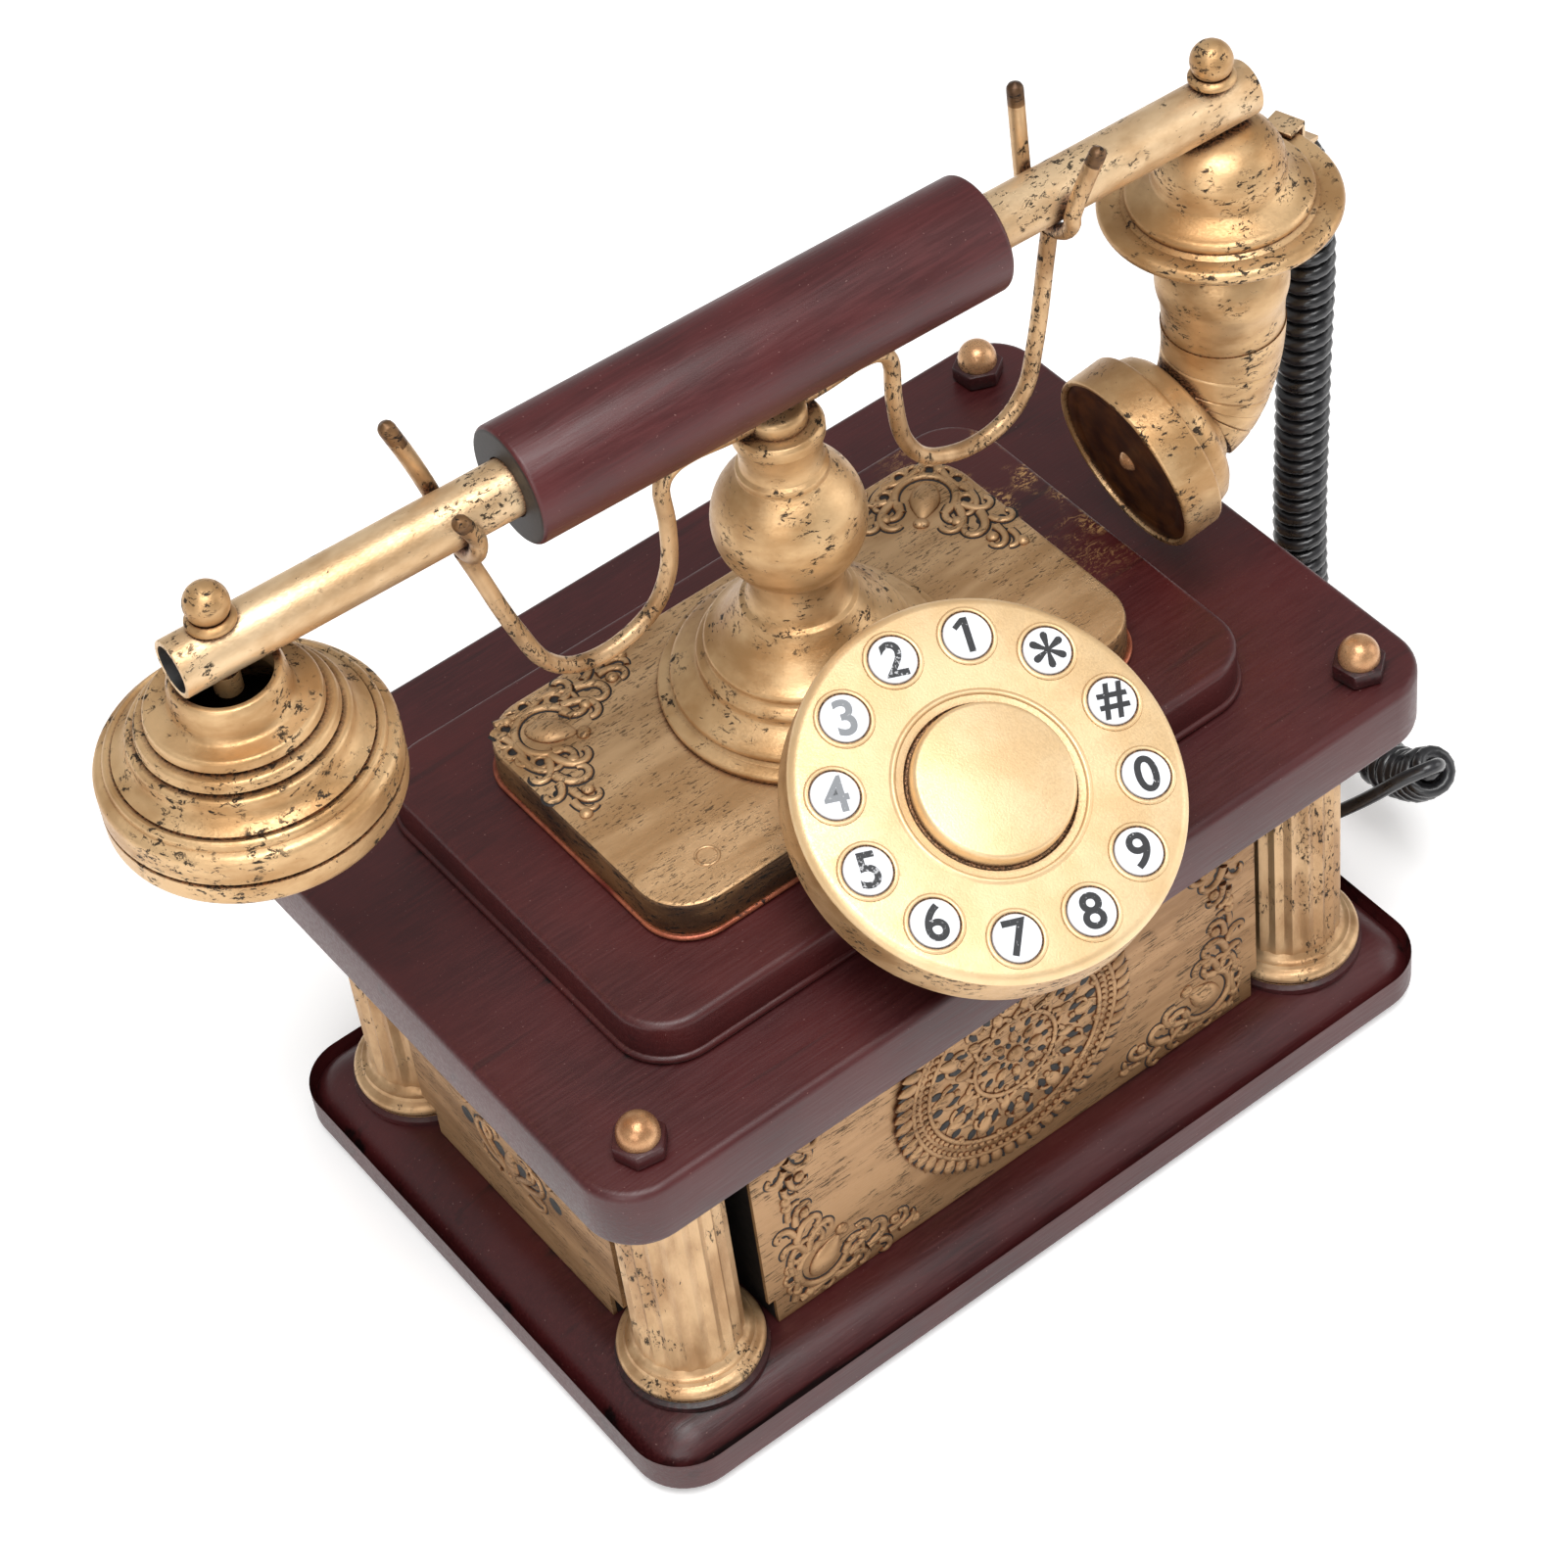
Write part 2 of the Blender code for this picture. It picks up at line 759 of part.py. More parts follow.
def make_fork(name, x, front_tip, rear_tip, frame, gold):
    """A U of wire round the tube's underside; each tip is (sideways lean, height)."""
    reach = tube_radius + gap + wire_radius
    axis_z = handset_z - cradle_seat
    run = [
        (x + front_tip[0], -reach - 0.0016, axis_z + front_tip[1]),
        (x + 0.45 * front_tip[0], -reach - 0.0008, axis_z + 0.5 * front_tip[1]),
    ]
    for angle in range(180, 361, 30):
        turn = math.radians(angle)
        run.append((x, reach * math.cos(turn), axis_z + reach * math.sin(turn)))
    run.append((x + 0.45 * rear_tip[0], reach + 0.0006, axis_z + 0.5 * rear_tip[1]))
    run.append((x + rear_tip[0], reach + 0.0012, axis_z + rear_tip[1]))
    wire(name, smooth_path(run, 2), wire_radius, gold, resolution=1, parent=frame)


def make_dial(gold, white, rubber, black):
    """The dial's face, twelve push keys, their rubber mat, back plate and bracket."""
    frame = make_empty("dial_frame", (stack_x, dial_y, dial_z), (dial_tilt, 0.0, 0.0))
    inner = dial_radius - dial_wall
    profile = [
        (0.0, hub_rise),
        (hub_radius - 0.0008, hub_rise),
        (hub_radius, hub_rise - 0.0008),
        (hub_radius, -0.0008),
        (hub_radius + 0.0022, -0.0008),
        (hub_radius + 0.0030, 0.0),
        (dial_radius - 0.0020, 0.0),
        (dial_radius - 0.0006, -0.0006),
        (dial_radius, -0.0020),
        (dial_radius, -dial_depth),
        (inner, -dial_depth),
        (inner, -dial_plate),
        (0.0, -dial_plate),
    ]
    face = turned("dial_face", profile, 32, gold, parent=frame)
    spots = [key_first_angle + 2 * math.pi * step / len(key_names) for step in range(12)]
    holes = [
        ((key_circle * math.cos(a), key_circle * math.sin(a), 0), (0, 0, 1), key_radius + gap, 0.01, 12)
        for a in spots
    ]
    cut(face, cutter_of("key_holes", holes, parent=frame))

    flange_top = -dial_plate - gap
    stem_foot = flange_top - 0.0022
    mat_top = stem_foot - key_travel - gap
    key_profile = [
        (0.0, 0.0006),
        (key_radius, 0.0002),
        (key_radius, flange_top),
        (key_radius + 0.0009, flange_top),
        (key_radius + 0.0009, flange_top - 0.0007),
        (0.0020, flange_top - 0.0007),
        (0.0020, stem_foot),
        (0.0, stem_foot),
    ]
    for key, angle in zip(key_names, spots):
        spot = (key_circle * math.cos(angle), key_circle * math.sin(angle), 0.0)
        turned("key_" + key, key_profile, 12, white, parent=frame, location=spot)

    mat_radius = inner - 2 * gap
    mat = [(0.0, mat_top), (mat_radius, mat_top), (mat_radius, mat_top - 0.0006), (0.0, mat_top - 0.0006)]
    turned("key_mat", mat, 24, rubber, parent=frame)
    back_top = mat_top - 0.0006 - gap
    back = [(0.0, back_top), (mat_radius, back_top), (mat_radius, -dial_depth), (0.0, -dial_depth)]
    turned("dial_back", back, 24, black, parent=frame)
    make_bracket(gold)


def make_bracket(gold):
    """A block on the plinth, in front of the plate, whose sloping top carries the dial."""
    plate_front = stack_y - plate_depth / 2
    rear = plate_front - gap
    front = rear - bracket_depth
    drop = dial_depth + gap

    def top_at(y):
        """Height of the dial's back, less the gap, above a front-to-back place."""
        offset_y = y - (dial_y + drop * math.sin(dial_tilt))
        return dial_z - drop * math.cos(dial_tilt) + offset_y * math.tan(dial_tilt)

    floor = plinth_top + gap
    left = stack_x - bracket_width / 2
    outline = [
        (left, front, floor),
        (left, front, top_at(front)),
        (left, rear, top_at(rear)),
        (left, rear, floor),
    ]
    prism("dial_bracket", outline, (bracket_width, 0, 0), gold)


def make_grip_and_tube(gold, maroon, frame):
    """The handset's tube, its wooden grip, and a ball-headed screw over each end."""
    length = tube_right - tube_left
    middle = (tube_right + tube_left) / 2
    quarter_turn = (0.0, math.radians(90), 0.0)
    tube = [
        (tube_bore, -length / 2),
        (tube_radius, -length / 2),
        (tube_radius, length / 2),
        (tube_bore, length / 2),
    ]
    turned(
        "handset_tube", tube, 20, gold, closed=True, parent=frame,
        location=(middle, 0.0, 0.0), rotation=quarter_turn,
    )
    half = (grip_right - grip_left) / 2
    bore = tube_radius + gap
    grip = [
        (bore, -half),
        (grip_radius - 0.0012, -half),
        (grip_radius, -half + 0.0010),
        (grip_radius, half - 0.0010),
        (grip_radius - 0.0012, half),
        (bore, half),
    ]
    turned(
        "handset_grip", grip, 24, maroon, closed=True, parent=frame,
        location=((grip_left + grip_right) / 2, 0.0, 0.0), rotation=quarter_turn,
    )
    seat = tube_radius + gap
    ball = seat + 0.0009 + 0.8 * finial_radius
    profile = [(0.0, seat), (0.0038, seat), (0.0036, seat + 0.0009)]
    for angle in (-50, -15, 20, 55):
        turn = math.radians(angle)
        profile.append((finial_radius * math.cos(turn), ball + finial_radius * math.sin(turn)))
    profile.append((0.0, ball + finial_radius))
    turned("finial_left", profile, 12, gold, parent=frame, location=(ear_x, 0.0, 0.0))
    turned("finial_right", profile, 12, gold, parent=frame, location=(mouth_x - 0.001, 0.0, 0.0))


def make_earpiece(gold, black, frame):
    """Stepped earpiece shell on a stud under the tube, its screw cap and the receiver."""
    top = -tube_radius - gap
    outer = ear_radius
    seam = top - ear_height + 0.0047
    cavity = outer - 0.0032
    shell = [
        (0.0, top),
        (0.0022, top),
        (0.0022, top - 0.0042),
        (0.0076, top - 0.0042),
        (0.0076, top - 0.0004),
        (0.0088, top - 0.0002),
        (0.0094, top - 0.0050),
        (0.0130, top - 0.0070),
        (0.0134, top - 0.0084),
        (0.0158, top - 0.0098),
        (0.0168, top - 0.0112),
        (0.0170, top - 0.0126),
        (0.0206, top - 0.0150),
        (outer, top - 0.0176),
        (outer, seam),
        (cavity, seam),
        (cavity, top - 0.0182),
        (0.0120, top - 0.0170),
        (0.0, top - 0.0170),
    ]
    turned("earpiece_shell", shell, 28, gold, parent=frame, location=(ear_x, 0.0, 0.0))
    foot = top - ear_height
    cap_top = seam - gap
    cap = [
        (0.0, foot + 0.0022),
        (cavity, foot + 0.0022),
        (cavity, cap_top),
        (outer, cap_top),
        (outer, foot + 0.0010),
        (outer - 0.0012, foot),
        (outer - 0.0050, foot),
        (outer - 0.0065, foot + 0.0007),
        (0.0, foot + 0.0007),
    ]
    cap_piece = turned("earpiece_cap", cap, 28, gold, parent=frame, location=(ear_x, 0.0, 0.0))
    holes = [((ear_x, 0.0, foot), (0, 0, 1), 0.0012, 0.02, 8)]
    for step in range(6):
        angle = math.radians(60 * step)
        spot = (ear_x + 0.0075 * math.cos(angle), 0.0075 * math.sin(angle), foot)
        holes.append((spot, (0, 0, 1), 0.0012, 0.02, 8))
    cut(cap_piece, cutter_of("sound_holes", holes, parent=frame))
    capsule_top = top - 0.0182 - gap
    capsule_foot = foot + 0.0022 + gap
    rim = cavity - 2 * gap
    capsule = [(0.0, capsule_top), (rim, capsule_top), (rim, capsule_foot), (0.0, capsule_foot)]
    turned("receiver_capsule", capsule, 24, black, parent=frame, location=(ear_x, 0.0, 0.0))


def make_mouthpiece(gold, black, frame):
    """Bell-shaped flange under the tube, ball neck, bent elbow, cup and microphone."""
    top = -tube_radius - gap
    rim = -flange_drop
    neck_foot = rim - 0.0262
    bell = [
        (0.0, top),
        (0.0045, top),
        (0.0082, top - 0.0022),
        (0.0104, top - 0.0058),
        (0.0110, top - 0.0092),
        (0.0148, rim + 0.0030),
        (0.0160, rim + 0.0008),
        (flange_radius - 0.0010, rim + 0.0005),
        (flange_radius, rim - 0.0005),
        (flange_radius - 0.0010, rim - 0.0016),
        (0.0120, rim - 0.0016),
        (neck_radius, rim - 0.0030),
        (neck_radius, rim - 0.0205),
        (neck_radius - 0.0008, neck_foot),
        (0.0, neck_foot),
    ]
    turned("mouth_bell", bell, 28, gold, parent=frame, location=(mouth_x, 0.0, 0.0))

    elbow_top = neck_foot - gap
    elbow(gold, frame, elbow_top)

    out = Vector((-math.cos(cup_tilt), 0.0, -math.sin(cup_tilt)))
    turn = Vector((0, 0, 1)).rotation_difference(out).to_euler()
    place = dict(parent=frame, location=(cup_x, 0.0, -cup_drop), rotation=turn)
    rim_radius = cup_radius
    cup = [
        (0.0, -cup_depth),
        (0.0090, -cup_depth),
        (0.0094, -cup_depth + 0.0012),
        (0.0138, -cup_depth + 0.0032),
        (0.0146, -cup_depth + 0.0062),
        (rim_radius - 0.0006, -0.0078),
        (rim_radius, -0.0070),
        (rim_radius, -0.0006),
        (rim_radius - 0.0006, 0.0),
        (rim_radius - 0.0014, 0.0),
        (rim_radius - 0.0018, -0.0020),
        (rim_radius - 0.0018, -0.0080),
        (0.0, -0.0080),
    ]
    turned("mouth_cup", cup, 28, gold, **place)
    edge = rim_radius - 0.0018 - 2 * gap
    capsule = [
        (0.0, -0.0080 + gap),
        (edge, -0.0080 + gap),
        (edge, -0.0026),
        (0.0020, -0.0026),
        (0.0016, -0.0014),
        (0.0, -0.0011),
    ]
    turned("mic_capsule", capsule, 24, black, **place)


def elbow(gold, frame, top):
    """Rings fanned about a point at the elbow's inner side, from the neck to the cup."""
    start = neck_radius - 0.0008
    end = 0.0090
    end_x = cup_x + (cup_depth + gap) * math.cos(cup_tilt)
    end_z = -cup_drop + (cup_depth + gap) * math.sin(cup_tilt)
    sweep = math.radians(90) - cup_tilt
    inner = 0.0004
    pivot_z = end_z + (end + inner) * math.sin(sweep)
    pivot_x = end_x - (end + inner) * math.cos(sweep)
    stations = [(mouth_x, top, start, 0.0)]
    count = 7
    for step in range(count):
        share = step / (count - 1)
        radius = start + 0.0004 + (end - start - 0.0004) * share
        radius += 0.0004 if step % 2 and step < count - 1 else 0.0
        turn = sweep * share
        x = pivot_x + (radius + inner) * math.cos(turn)
        z = pivot_z - (radius + inner) * math.sin(turn)
        stations.append((x, z, radius, turn))
    stations[-1] = (end_x, end_z, end, sweep)
    sides = 20
    bm = bmesh.new()
    loops = []
    for x, z, radius, turn in stations:
        ring = bmesh.ops.create_circle(bm, segments=sides, radius=radius)["verts"]
        place = Matrix.Translation((x, 0.0, z)) @ Matrix.Rotation(turn, 4, "Y")
        bmesh.ops.transform(bm, matrix=place, verts=ring)
        loops.append(list({edge for vert in ring for edge in vert.link_edges}))
    for lower, upper in zip(loops, loops[1:]):
        bmesh.ops.bridge_loops(bm, edges=lower + upper)
    bmesh.ops.edgeloop_fill(bm, edges=loops[0])
    bmesh.ops.edgeloop_fill(bm, edges=loops[-1])
    finish("mouth_elbow", bm, gold, parent=frame)


def make_clip(gold, frame):
    """A bent strap round the flange's rim, over the top of the hanging cord."""
    coil_top = Vector(coil_route[0])
    local = Matrix.Rotation(-cradle_yaw, 3, "Z") @ (coil_top - Vector((stack_x, stack_y, handset_z)))
    angle = math.atan2(local.y, local.x - mouth_x)
    reach = math.hypot(local.y, local.x - mouth_x)
    rim = -flange_drop
    top = rim + 0.0008 + gap
    lap = 0.0036
    foot = local.z + gap
    inner = flange_radius + gap
    outline = [
        (inner - lap, 0.0, top),
        (inner, 0.0, top),
        (inner, 0.0, foot + 0.0008),
        (inner - 0.0016, 0.0, foot + 0.0008),
        (inner - 0.0016, 0.0, foot),
        (reach + 0.0024, 0.0, foot),
        (reach + 0.0024, 0.0, foot + 0.0008),
        (inner + 0.0008, 0.0, foot + 0.0022),
        (inner + 0.0008, 0.0, top + 0.0008),
        (inner - lap, 0.0, top + 0.0008),
    ]
    half = 0.0028
    shifted = [(x, y - half, z) for x, y, z in outline]
    prism(
        "cord_clip", shifted, (0, 2 * half, 0), gold, parent=frame,
        location=(mouth_x, 0.0, 0.0), rotation=(0.0, 0.0, angle),
    )


def make_cord(rubber, black):
    """The gland in the case, the cord's straight tail, and the coil's outer shape."""
    shaft = cord_radius + 0.0013
    inside = -panel_thickness - liner_thickness - 2 * gap - 0.0012
    gland = [
        (0.0, inside),
        (shaft, inside),
        (shaft, gap),
        (shaft + 0.0014, gap),
        (shaft + 0.0010, 0.0012),
        (shaft - 0.0006, gland_reach),
        (0.0, gland_reach),
    ]
    turned(
        "cord_gland", gland, 16, black,
        location=(side_face, gland_y, gland_z), rotation=(0.0, math.radians(90), 0.0),
    )
    entry = (side_face + gland_reach + gap, gland_y, gland_z)
    before = (entry[0] + 0.0020, gland_y, gland_z)
    wire("cord_tail", smooth_path([*tail_route, before, entry], 3), cord_radius, rubber)
    wire("curly_cord", smooth_path(coil_route, 3), coil_radius, rubber)


def main():
    for old in list(bpy.data.objects):
        bpy.data.objects.remove(old)

    gold = make_material("antique_gold", (0.50, 0.31, 0.13), 0.42, 0.85)
    bright = make_material("dial_gold", (0.78, 0.56, 0.32), 0.40, 0.70)
    maroon = make_material("maroon_paint", (0.082, 0.022, 0.022), 0.50, 0.0)
    black = make_material("black_plastic", (0.010, 0.009, 0.009), 0.45, 0.0)
    rubber = make_material("black_cord", (0.012, 0.011, 0.012), 0.30, 0.0)
    white = make_material("key_white", (0.80, 0.81, 0.84), 0.40, 0.0)
    green = make_material("board_green", (0.02, 0.16, 0.06), 0.50, 0.0)
    brass = make_material("bell_brass", (0.60, 0.42, 0.16), 0.30, 1.0)
    steel = make_material("spring_steel", (0.45, 0.45, 0.46), 0.35, 1.0)

    places = corner_places(column_x, column_y)
    nuts = make_boards(maroon, places)
    make_columns(gold, places)
    make_cap_nuts(gold, nuts)
    make_case(gold, black)
    make_medallion(gold)
    pad_top = make_internals(green, black, brass)
    make_stack(maroon, gold)
    make_post(gold)
    make_cradle(gold, steel, pad_top)
    make_dial(bright, white, rubber, black)

    handset = make_empty("handset_frame", (stack_x, stack_y, handset_z), (0.0, 0.0, cradle_yaw))
    make_grip_and_tube(gold, maroon, handset)
    make_earpiece(gold, black, handset)
    make_mouthpiece(gold, black, handset)
    make_clip(gold, handset)
    make_cord(rubber, black)


main()
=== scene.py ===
import math
import random

import bpy
from mathutils import Matrix, Vector


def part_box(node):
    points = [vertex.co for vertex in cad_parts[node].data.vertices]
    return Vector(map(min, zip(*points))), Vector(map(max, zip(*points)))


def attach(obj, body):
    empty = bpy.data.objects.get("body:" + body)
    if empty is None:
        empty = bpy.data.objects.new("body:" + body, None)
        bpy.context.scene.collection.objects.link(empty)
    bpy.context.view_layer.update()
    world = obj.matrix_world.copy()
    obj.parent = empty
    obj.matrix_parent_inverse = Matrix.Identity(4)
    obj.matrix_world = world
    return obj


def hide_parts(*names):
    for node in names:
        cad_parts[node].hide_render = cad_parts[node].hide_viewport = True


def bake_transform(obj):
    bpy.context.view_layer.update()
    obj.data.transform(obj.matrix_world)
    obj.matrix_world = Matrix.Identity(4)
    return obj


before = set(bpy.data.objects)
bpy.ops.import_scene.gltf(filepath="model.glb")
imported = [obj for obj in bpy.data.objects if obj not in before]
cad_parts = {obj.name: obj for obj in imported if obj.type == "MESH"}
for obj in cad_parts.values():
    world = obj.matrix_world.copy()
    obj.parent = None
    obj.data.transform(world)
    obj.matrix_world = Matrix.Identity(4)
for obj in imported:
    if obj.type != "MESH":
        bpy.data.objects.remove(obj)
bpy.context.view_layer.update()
mm = 0.001
rng = random.Random(7)
print("frame loaded")


# ---- places that the frame gives
def middle(node):
    low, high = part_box(node)
    return (low + high) / 2


stackAt = middle("post")
handsetYaw = Matrix.Rotation(math.radians(-2.5), 4, "Z")
tubeAt = (stackAt.x, stackAt.y, middle("handset_tube").z)
handsetFrame = Matrix.Translation(tubeAt) @ handsetYaw
hubHeight = 4.7 * mm
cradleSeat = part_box("cradle_hub")[1].z - hubHeight
cradleFrame = Matrix.Translation((stackAt.x, stackAt.y, cradleSeat)) @ handsetYaw

dial = {
    "radius": 31.9,
    "depth": 9.0,
    "wall": 1.5,
    "tilt": 26.8,
    "hub": 13.0,
    "hubRise": 3.0,
    "keyCircle": 24.9,
    "keyRadius": 3.9,
    "keyGap": 0.1,
    "collar": 0.6,
    "firstKey": 61.6,
    "keys": ("1", "2", "3", "4", "5", "6", "7", "8", "9", "0", "hash", "star"),
    "worn": ("3", "4"),
    "chipped": ("2", "5"),
    "lean": -20.0,
    "textSize": 8.142,
    "starSize": 1.6,
    "textSwell": 0.15,
    "textThickness": 0.04,
    "digitLift": 0.66,
}
dialLow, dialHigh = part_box("dial_face")
dialSin = math.sin(math.radians(dial["tilt"]))
dialCos = math.cos(math.radians(dial["tilt"]))
dialY = dialHigh.y - (dial["radius"] * dialCos + dial["depth"] * dialSin) * mm
dialZ = dialLow.z + (dial["radius"] * dialSin + dial["depth"] * dialCos) * mm
dialFrame = Matrix.Translation((stackAt.x, dialY, dialZ)) @ Matrix.Rotation(
    math.radians(dial["tilt"]), 4, "X"
)


# ---- camera
view = {
    "azimuth": -31.64,
    "elevation": 47.51,
    "roll": -8.02,
    "lens": 98.31,
    "sensor": 36.0,
    "place": (-0.2607, -0.4087, 0.6009),
}


def addCamera():
    bpy.ops.object.camera_add()
    camera = bpy.context.object
    camera.name = "viewCamera"
    turn = Matrix.Rotation(math.radians(view["azimuth"]), 4, "Z")
    tip = Matrix.Rotation(math.radians(90 - view["elevation"]), 4, "X")
    roll = Matrix.Rotation(math.radians(view["roll"]), 4, "Z")
    camera.matrix_world = Matrix.Translation(view["place"]) @ turn @ tip @ roll
    camera.data.sensor_width = view["sensor"]
    camera.data.lens = view["lens"]
    camera.data.clip_start = 0.01
    bpy.context.scene.camera = camera


addCamera()


# ---- material tools
def hexLinear(code):
    channels = [int(code[i : i + 2], 16) / 255 for i in (0, 2, 4)]
    linear = [c / 12.92 if c <= 0.04045 else ((c + 0.055) / 1.055) ** 2.4 for c in channels]
    return (*linear, 1.0)


def newMaterial(name, **sockets):
    material = bpy.data.materials.new(name)
    material.use_nodes = True
    shader = material.node_tree.nodes["Principled BSDF"]
    for socket, value in sockets.items():
        shader.inputs[socket.replace("_", " ")].default_value = value
    return material, shader


def addNode(material, kind, inputs=None, **settings):
    # sets a value, or links another node's output, for each named input
    node = material.node_tree.nodes.new(kind)
    for name, value in settings.items():
        setattr(node, name, value)
    for socket, value in (inputs or {}).items():
        if isinstance(value, bpy.types.NodeSocket):
            material.node_tree.links.new(value, node.inputs[socket])
        else:
            node.inputs[socket].default_value = value
    return node


def plug(material, output, socket):
    material.node_tree.links.new(output, socket)


def perSize(size):
    # noise scale that makes features of this size in mm
    return 1 / (size * mm)


def grain(material, size, stretch=(1, 1, 1), detail=4.0, roughness=0.55, distortion=0.0):
    # noise in the piece's own coordinates, drawn out along an axis by a small stretch
    place = addNode(material, "ShaderNodeTexCoord")
    mapping = addNode(
        material,
        "ShaderNodeMapping",
        {"Vector": place.outputs["Object"], "Scale": stretch},
    )
    noise = addNode(
        material,
        "ShaderNodeTexNoise",
        {
            "Vector": mapping.outputs["Vector"],
            "Scale": perSize(size),
            "Detail": detail,
            "Roughness": roughness,
            "Distortion": distortion,
        },
    )
    return noise.outputs["Fac"]


def between(material, value, low, high, lowTo=0.0, highTo=1.0):
    node = addNode(
        material,
        "ShaderNodeMapRange",
        {
            "Value": value,
            "From Min": low,
            "From Max": high,
            "To Min": lowTo,
            "To Max": highTo,
        },
        interpolation_type="SMOOTHSTEP",
    )
    return node.outputs["Result"]


def compute(material, operation, a, b):
    node = addNode(material, "ShaderNodeMath", {0: a, 1: b}, operation=operation)
    node.use_clamp = True
    return node.outputs["Value"]


def blendColour(material, amount, a, b):
    node = addNode(
        material, "ShaderNodeMix", {"Factor": amount, 6: a, 7: b}, data_type="RGBA"
    )
    return node.outputs[2]


def hollows(material, reach):
    # 1 deep in a crevice, 0 on open faces: an occlusion mask for painted shade in the
    #                                       crevices
    shade = addNode(
        material, "ShaderNodeAmbientOcclusion", {"Distance": reach * mm}, samples=8
    )
    return between(material, shade.outputs["AO"], 0.86, 0.38)


def addBump(material, shader, height, depth):
    bump = addNode(
        material,
        "ShaderNodeBump",
        {"Height": height, "Strength": 0.7, "Distance": depth * mm},
    )
    plug(material, bump.outputs["Normal"], shader.inputs["Normal"])


# antique gold paint: satin metal-flake paint with black rubbed on by a dry brush in short
# broken strokes on the open faces, thick in the hollows, where the black is partly painted
# shade and a copper tint is painted shade
goldLook = {
    # copper: the colour of the painted shade in the crevices, as of light bounced between
    # gold faces
    "copper": "8A4B25",
    "black": "17120F",
    "metallic": 0.6,
    "patch": 9.0,
    "speck": 1.3,
    "fleck": 0.35,
    "hollowReach": 2.2,
    "bump": 0.04,
}


def goldPaint(
    name, light, deep, wear, brush=(1, 1, 1), brushSize=1.6, roughness=0.36, cover=0.94
):
    material, shader = newMaterial(name, Metallic=goldLook["metallic"])
    tone = between(material, grain(material, goldLook["patch"], brush), 0.35, 0.65)
    # real flakes are under 0.1 mm: drawn coarser so that they show
    fine = grain(material, goldLook["fleck"], brush, detail=2.0)
    gold = blendColour(material, tone, hexLinear(deep), hexLinear(light))
    # painted shade: the crevices tinted copper, as of light bounced between gold faces
    crevice = hollows(material, goldLook["hollowReach"])
    copper = between(material, crevice, 0.15, 0.8, 0.0, 0.75)
    gold = blendColour(material, copper, gold, hexLinear(goldLook["copper"]))
    strokes = grain(material, brushSize * 1.4, brush, 6.0, 0.74, 0.5)
    strokes = between(material, strokes, 0.54, 0.585)
    patches = grain(material, goldLook["patch"], (1, 1, 1), 3.0)
    patches = between(material, patches, 0.61 - wear, 0.68 - wear)
    marks = compute(material, "MULTIPLY", strokes, patches)
    rare = 0.675 - 0.3 * wear
    specks = grain(material, goldLook["speck"], brush, 6.0, 0.78, 0.9)
    specks = between(material, specks, rare, rare + 0.03)
    marks = compute(material, "MAXIMUM", marks, specks)
    # black thick in the hollows: partly rubbed-in black, partly painted shade from the
    # crevice mask
    hollowBlackAndShade = compute(material, "MULTIPLY", crevice, between(material, fine, 0.35, 0.6))
    marks = compute(material, "MAXIMUM", marks, hollowBlackAndShade)
    marks = compute(material, "MULTIPLY", marks, cover)
    colour = blendColour(material, marks, gold, hexLinear(goldLook["black"]))
    plug(material, colour, shader.inputs["Base Color"])
    rough = between(material, fine, 0.3, 0.7, roughness - 0.04, roughness + 0.10)
    rough = compute(material, "ADD", rough, compute(material, "MULTIPLY", marks, 0.25))
    plug(material, rough, shader.inputs["Roughness"])
    addBump(material, shader, compute(material, "ADD", fine, marks), goldLook["bump"])
    return material


# burgundy satin paint over wood: fine brush lines along the board, black smudges in random
# patches, painted shade darkening the crevices where parts meet, and small chips where the
# gold undercoat shows
burgundyLook = {
    "black": "0A0606",
    "dust": "8E6A64",
    "undercoat": "B48A58",
    "brushLine": 0.9,
    "cloud": 26.0,
    "smudge": 7.0,
    "dustGrain": 0.5,
    # reach of the crevice mask that drives the painted shade
    "hollowReach": 3.5,
    "chip": 0.9,
    "chipRegion": 10.0,
    "bump": 0.07,
}


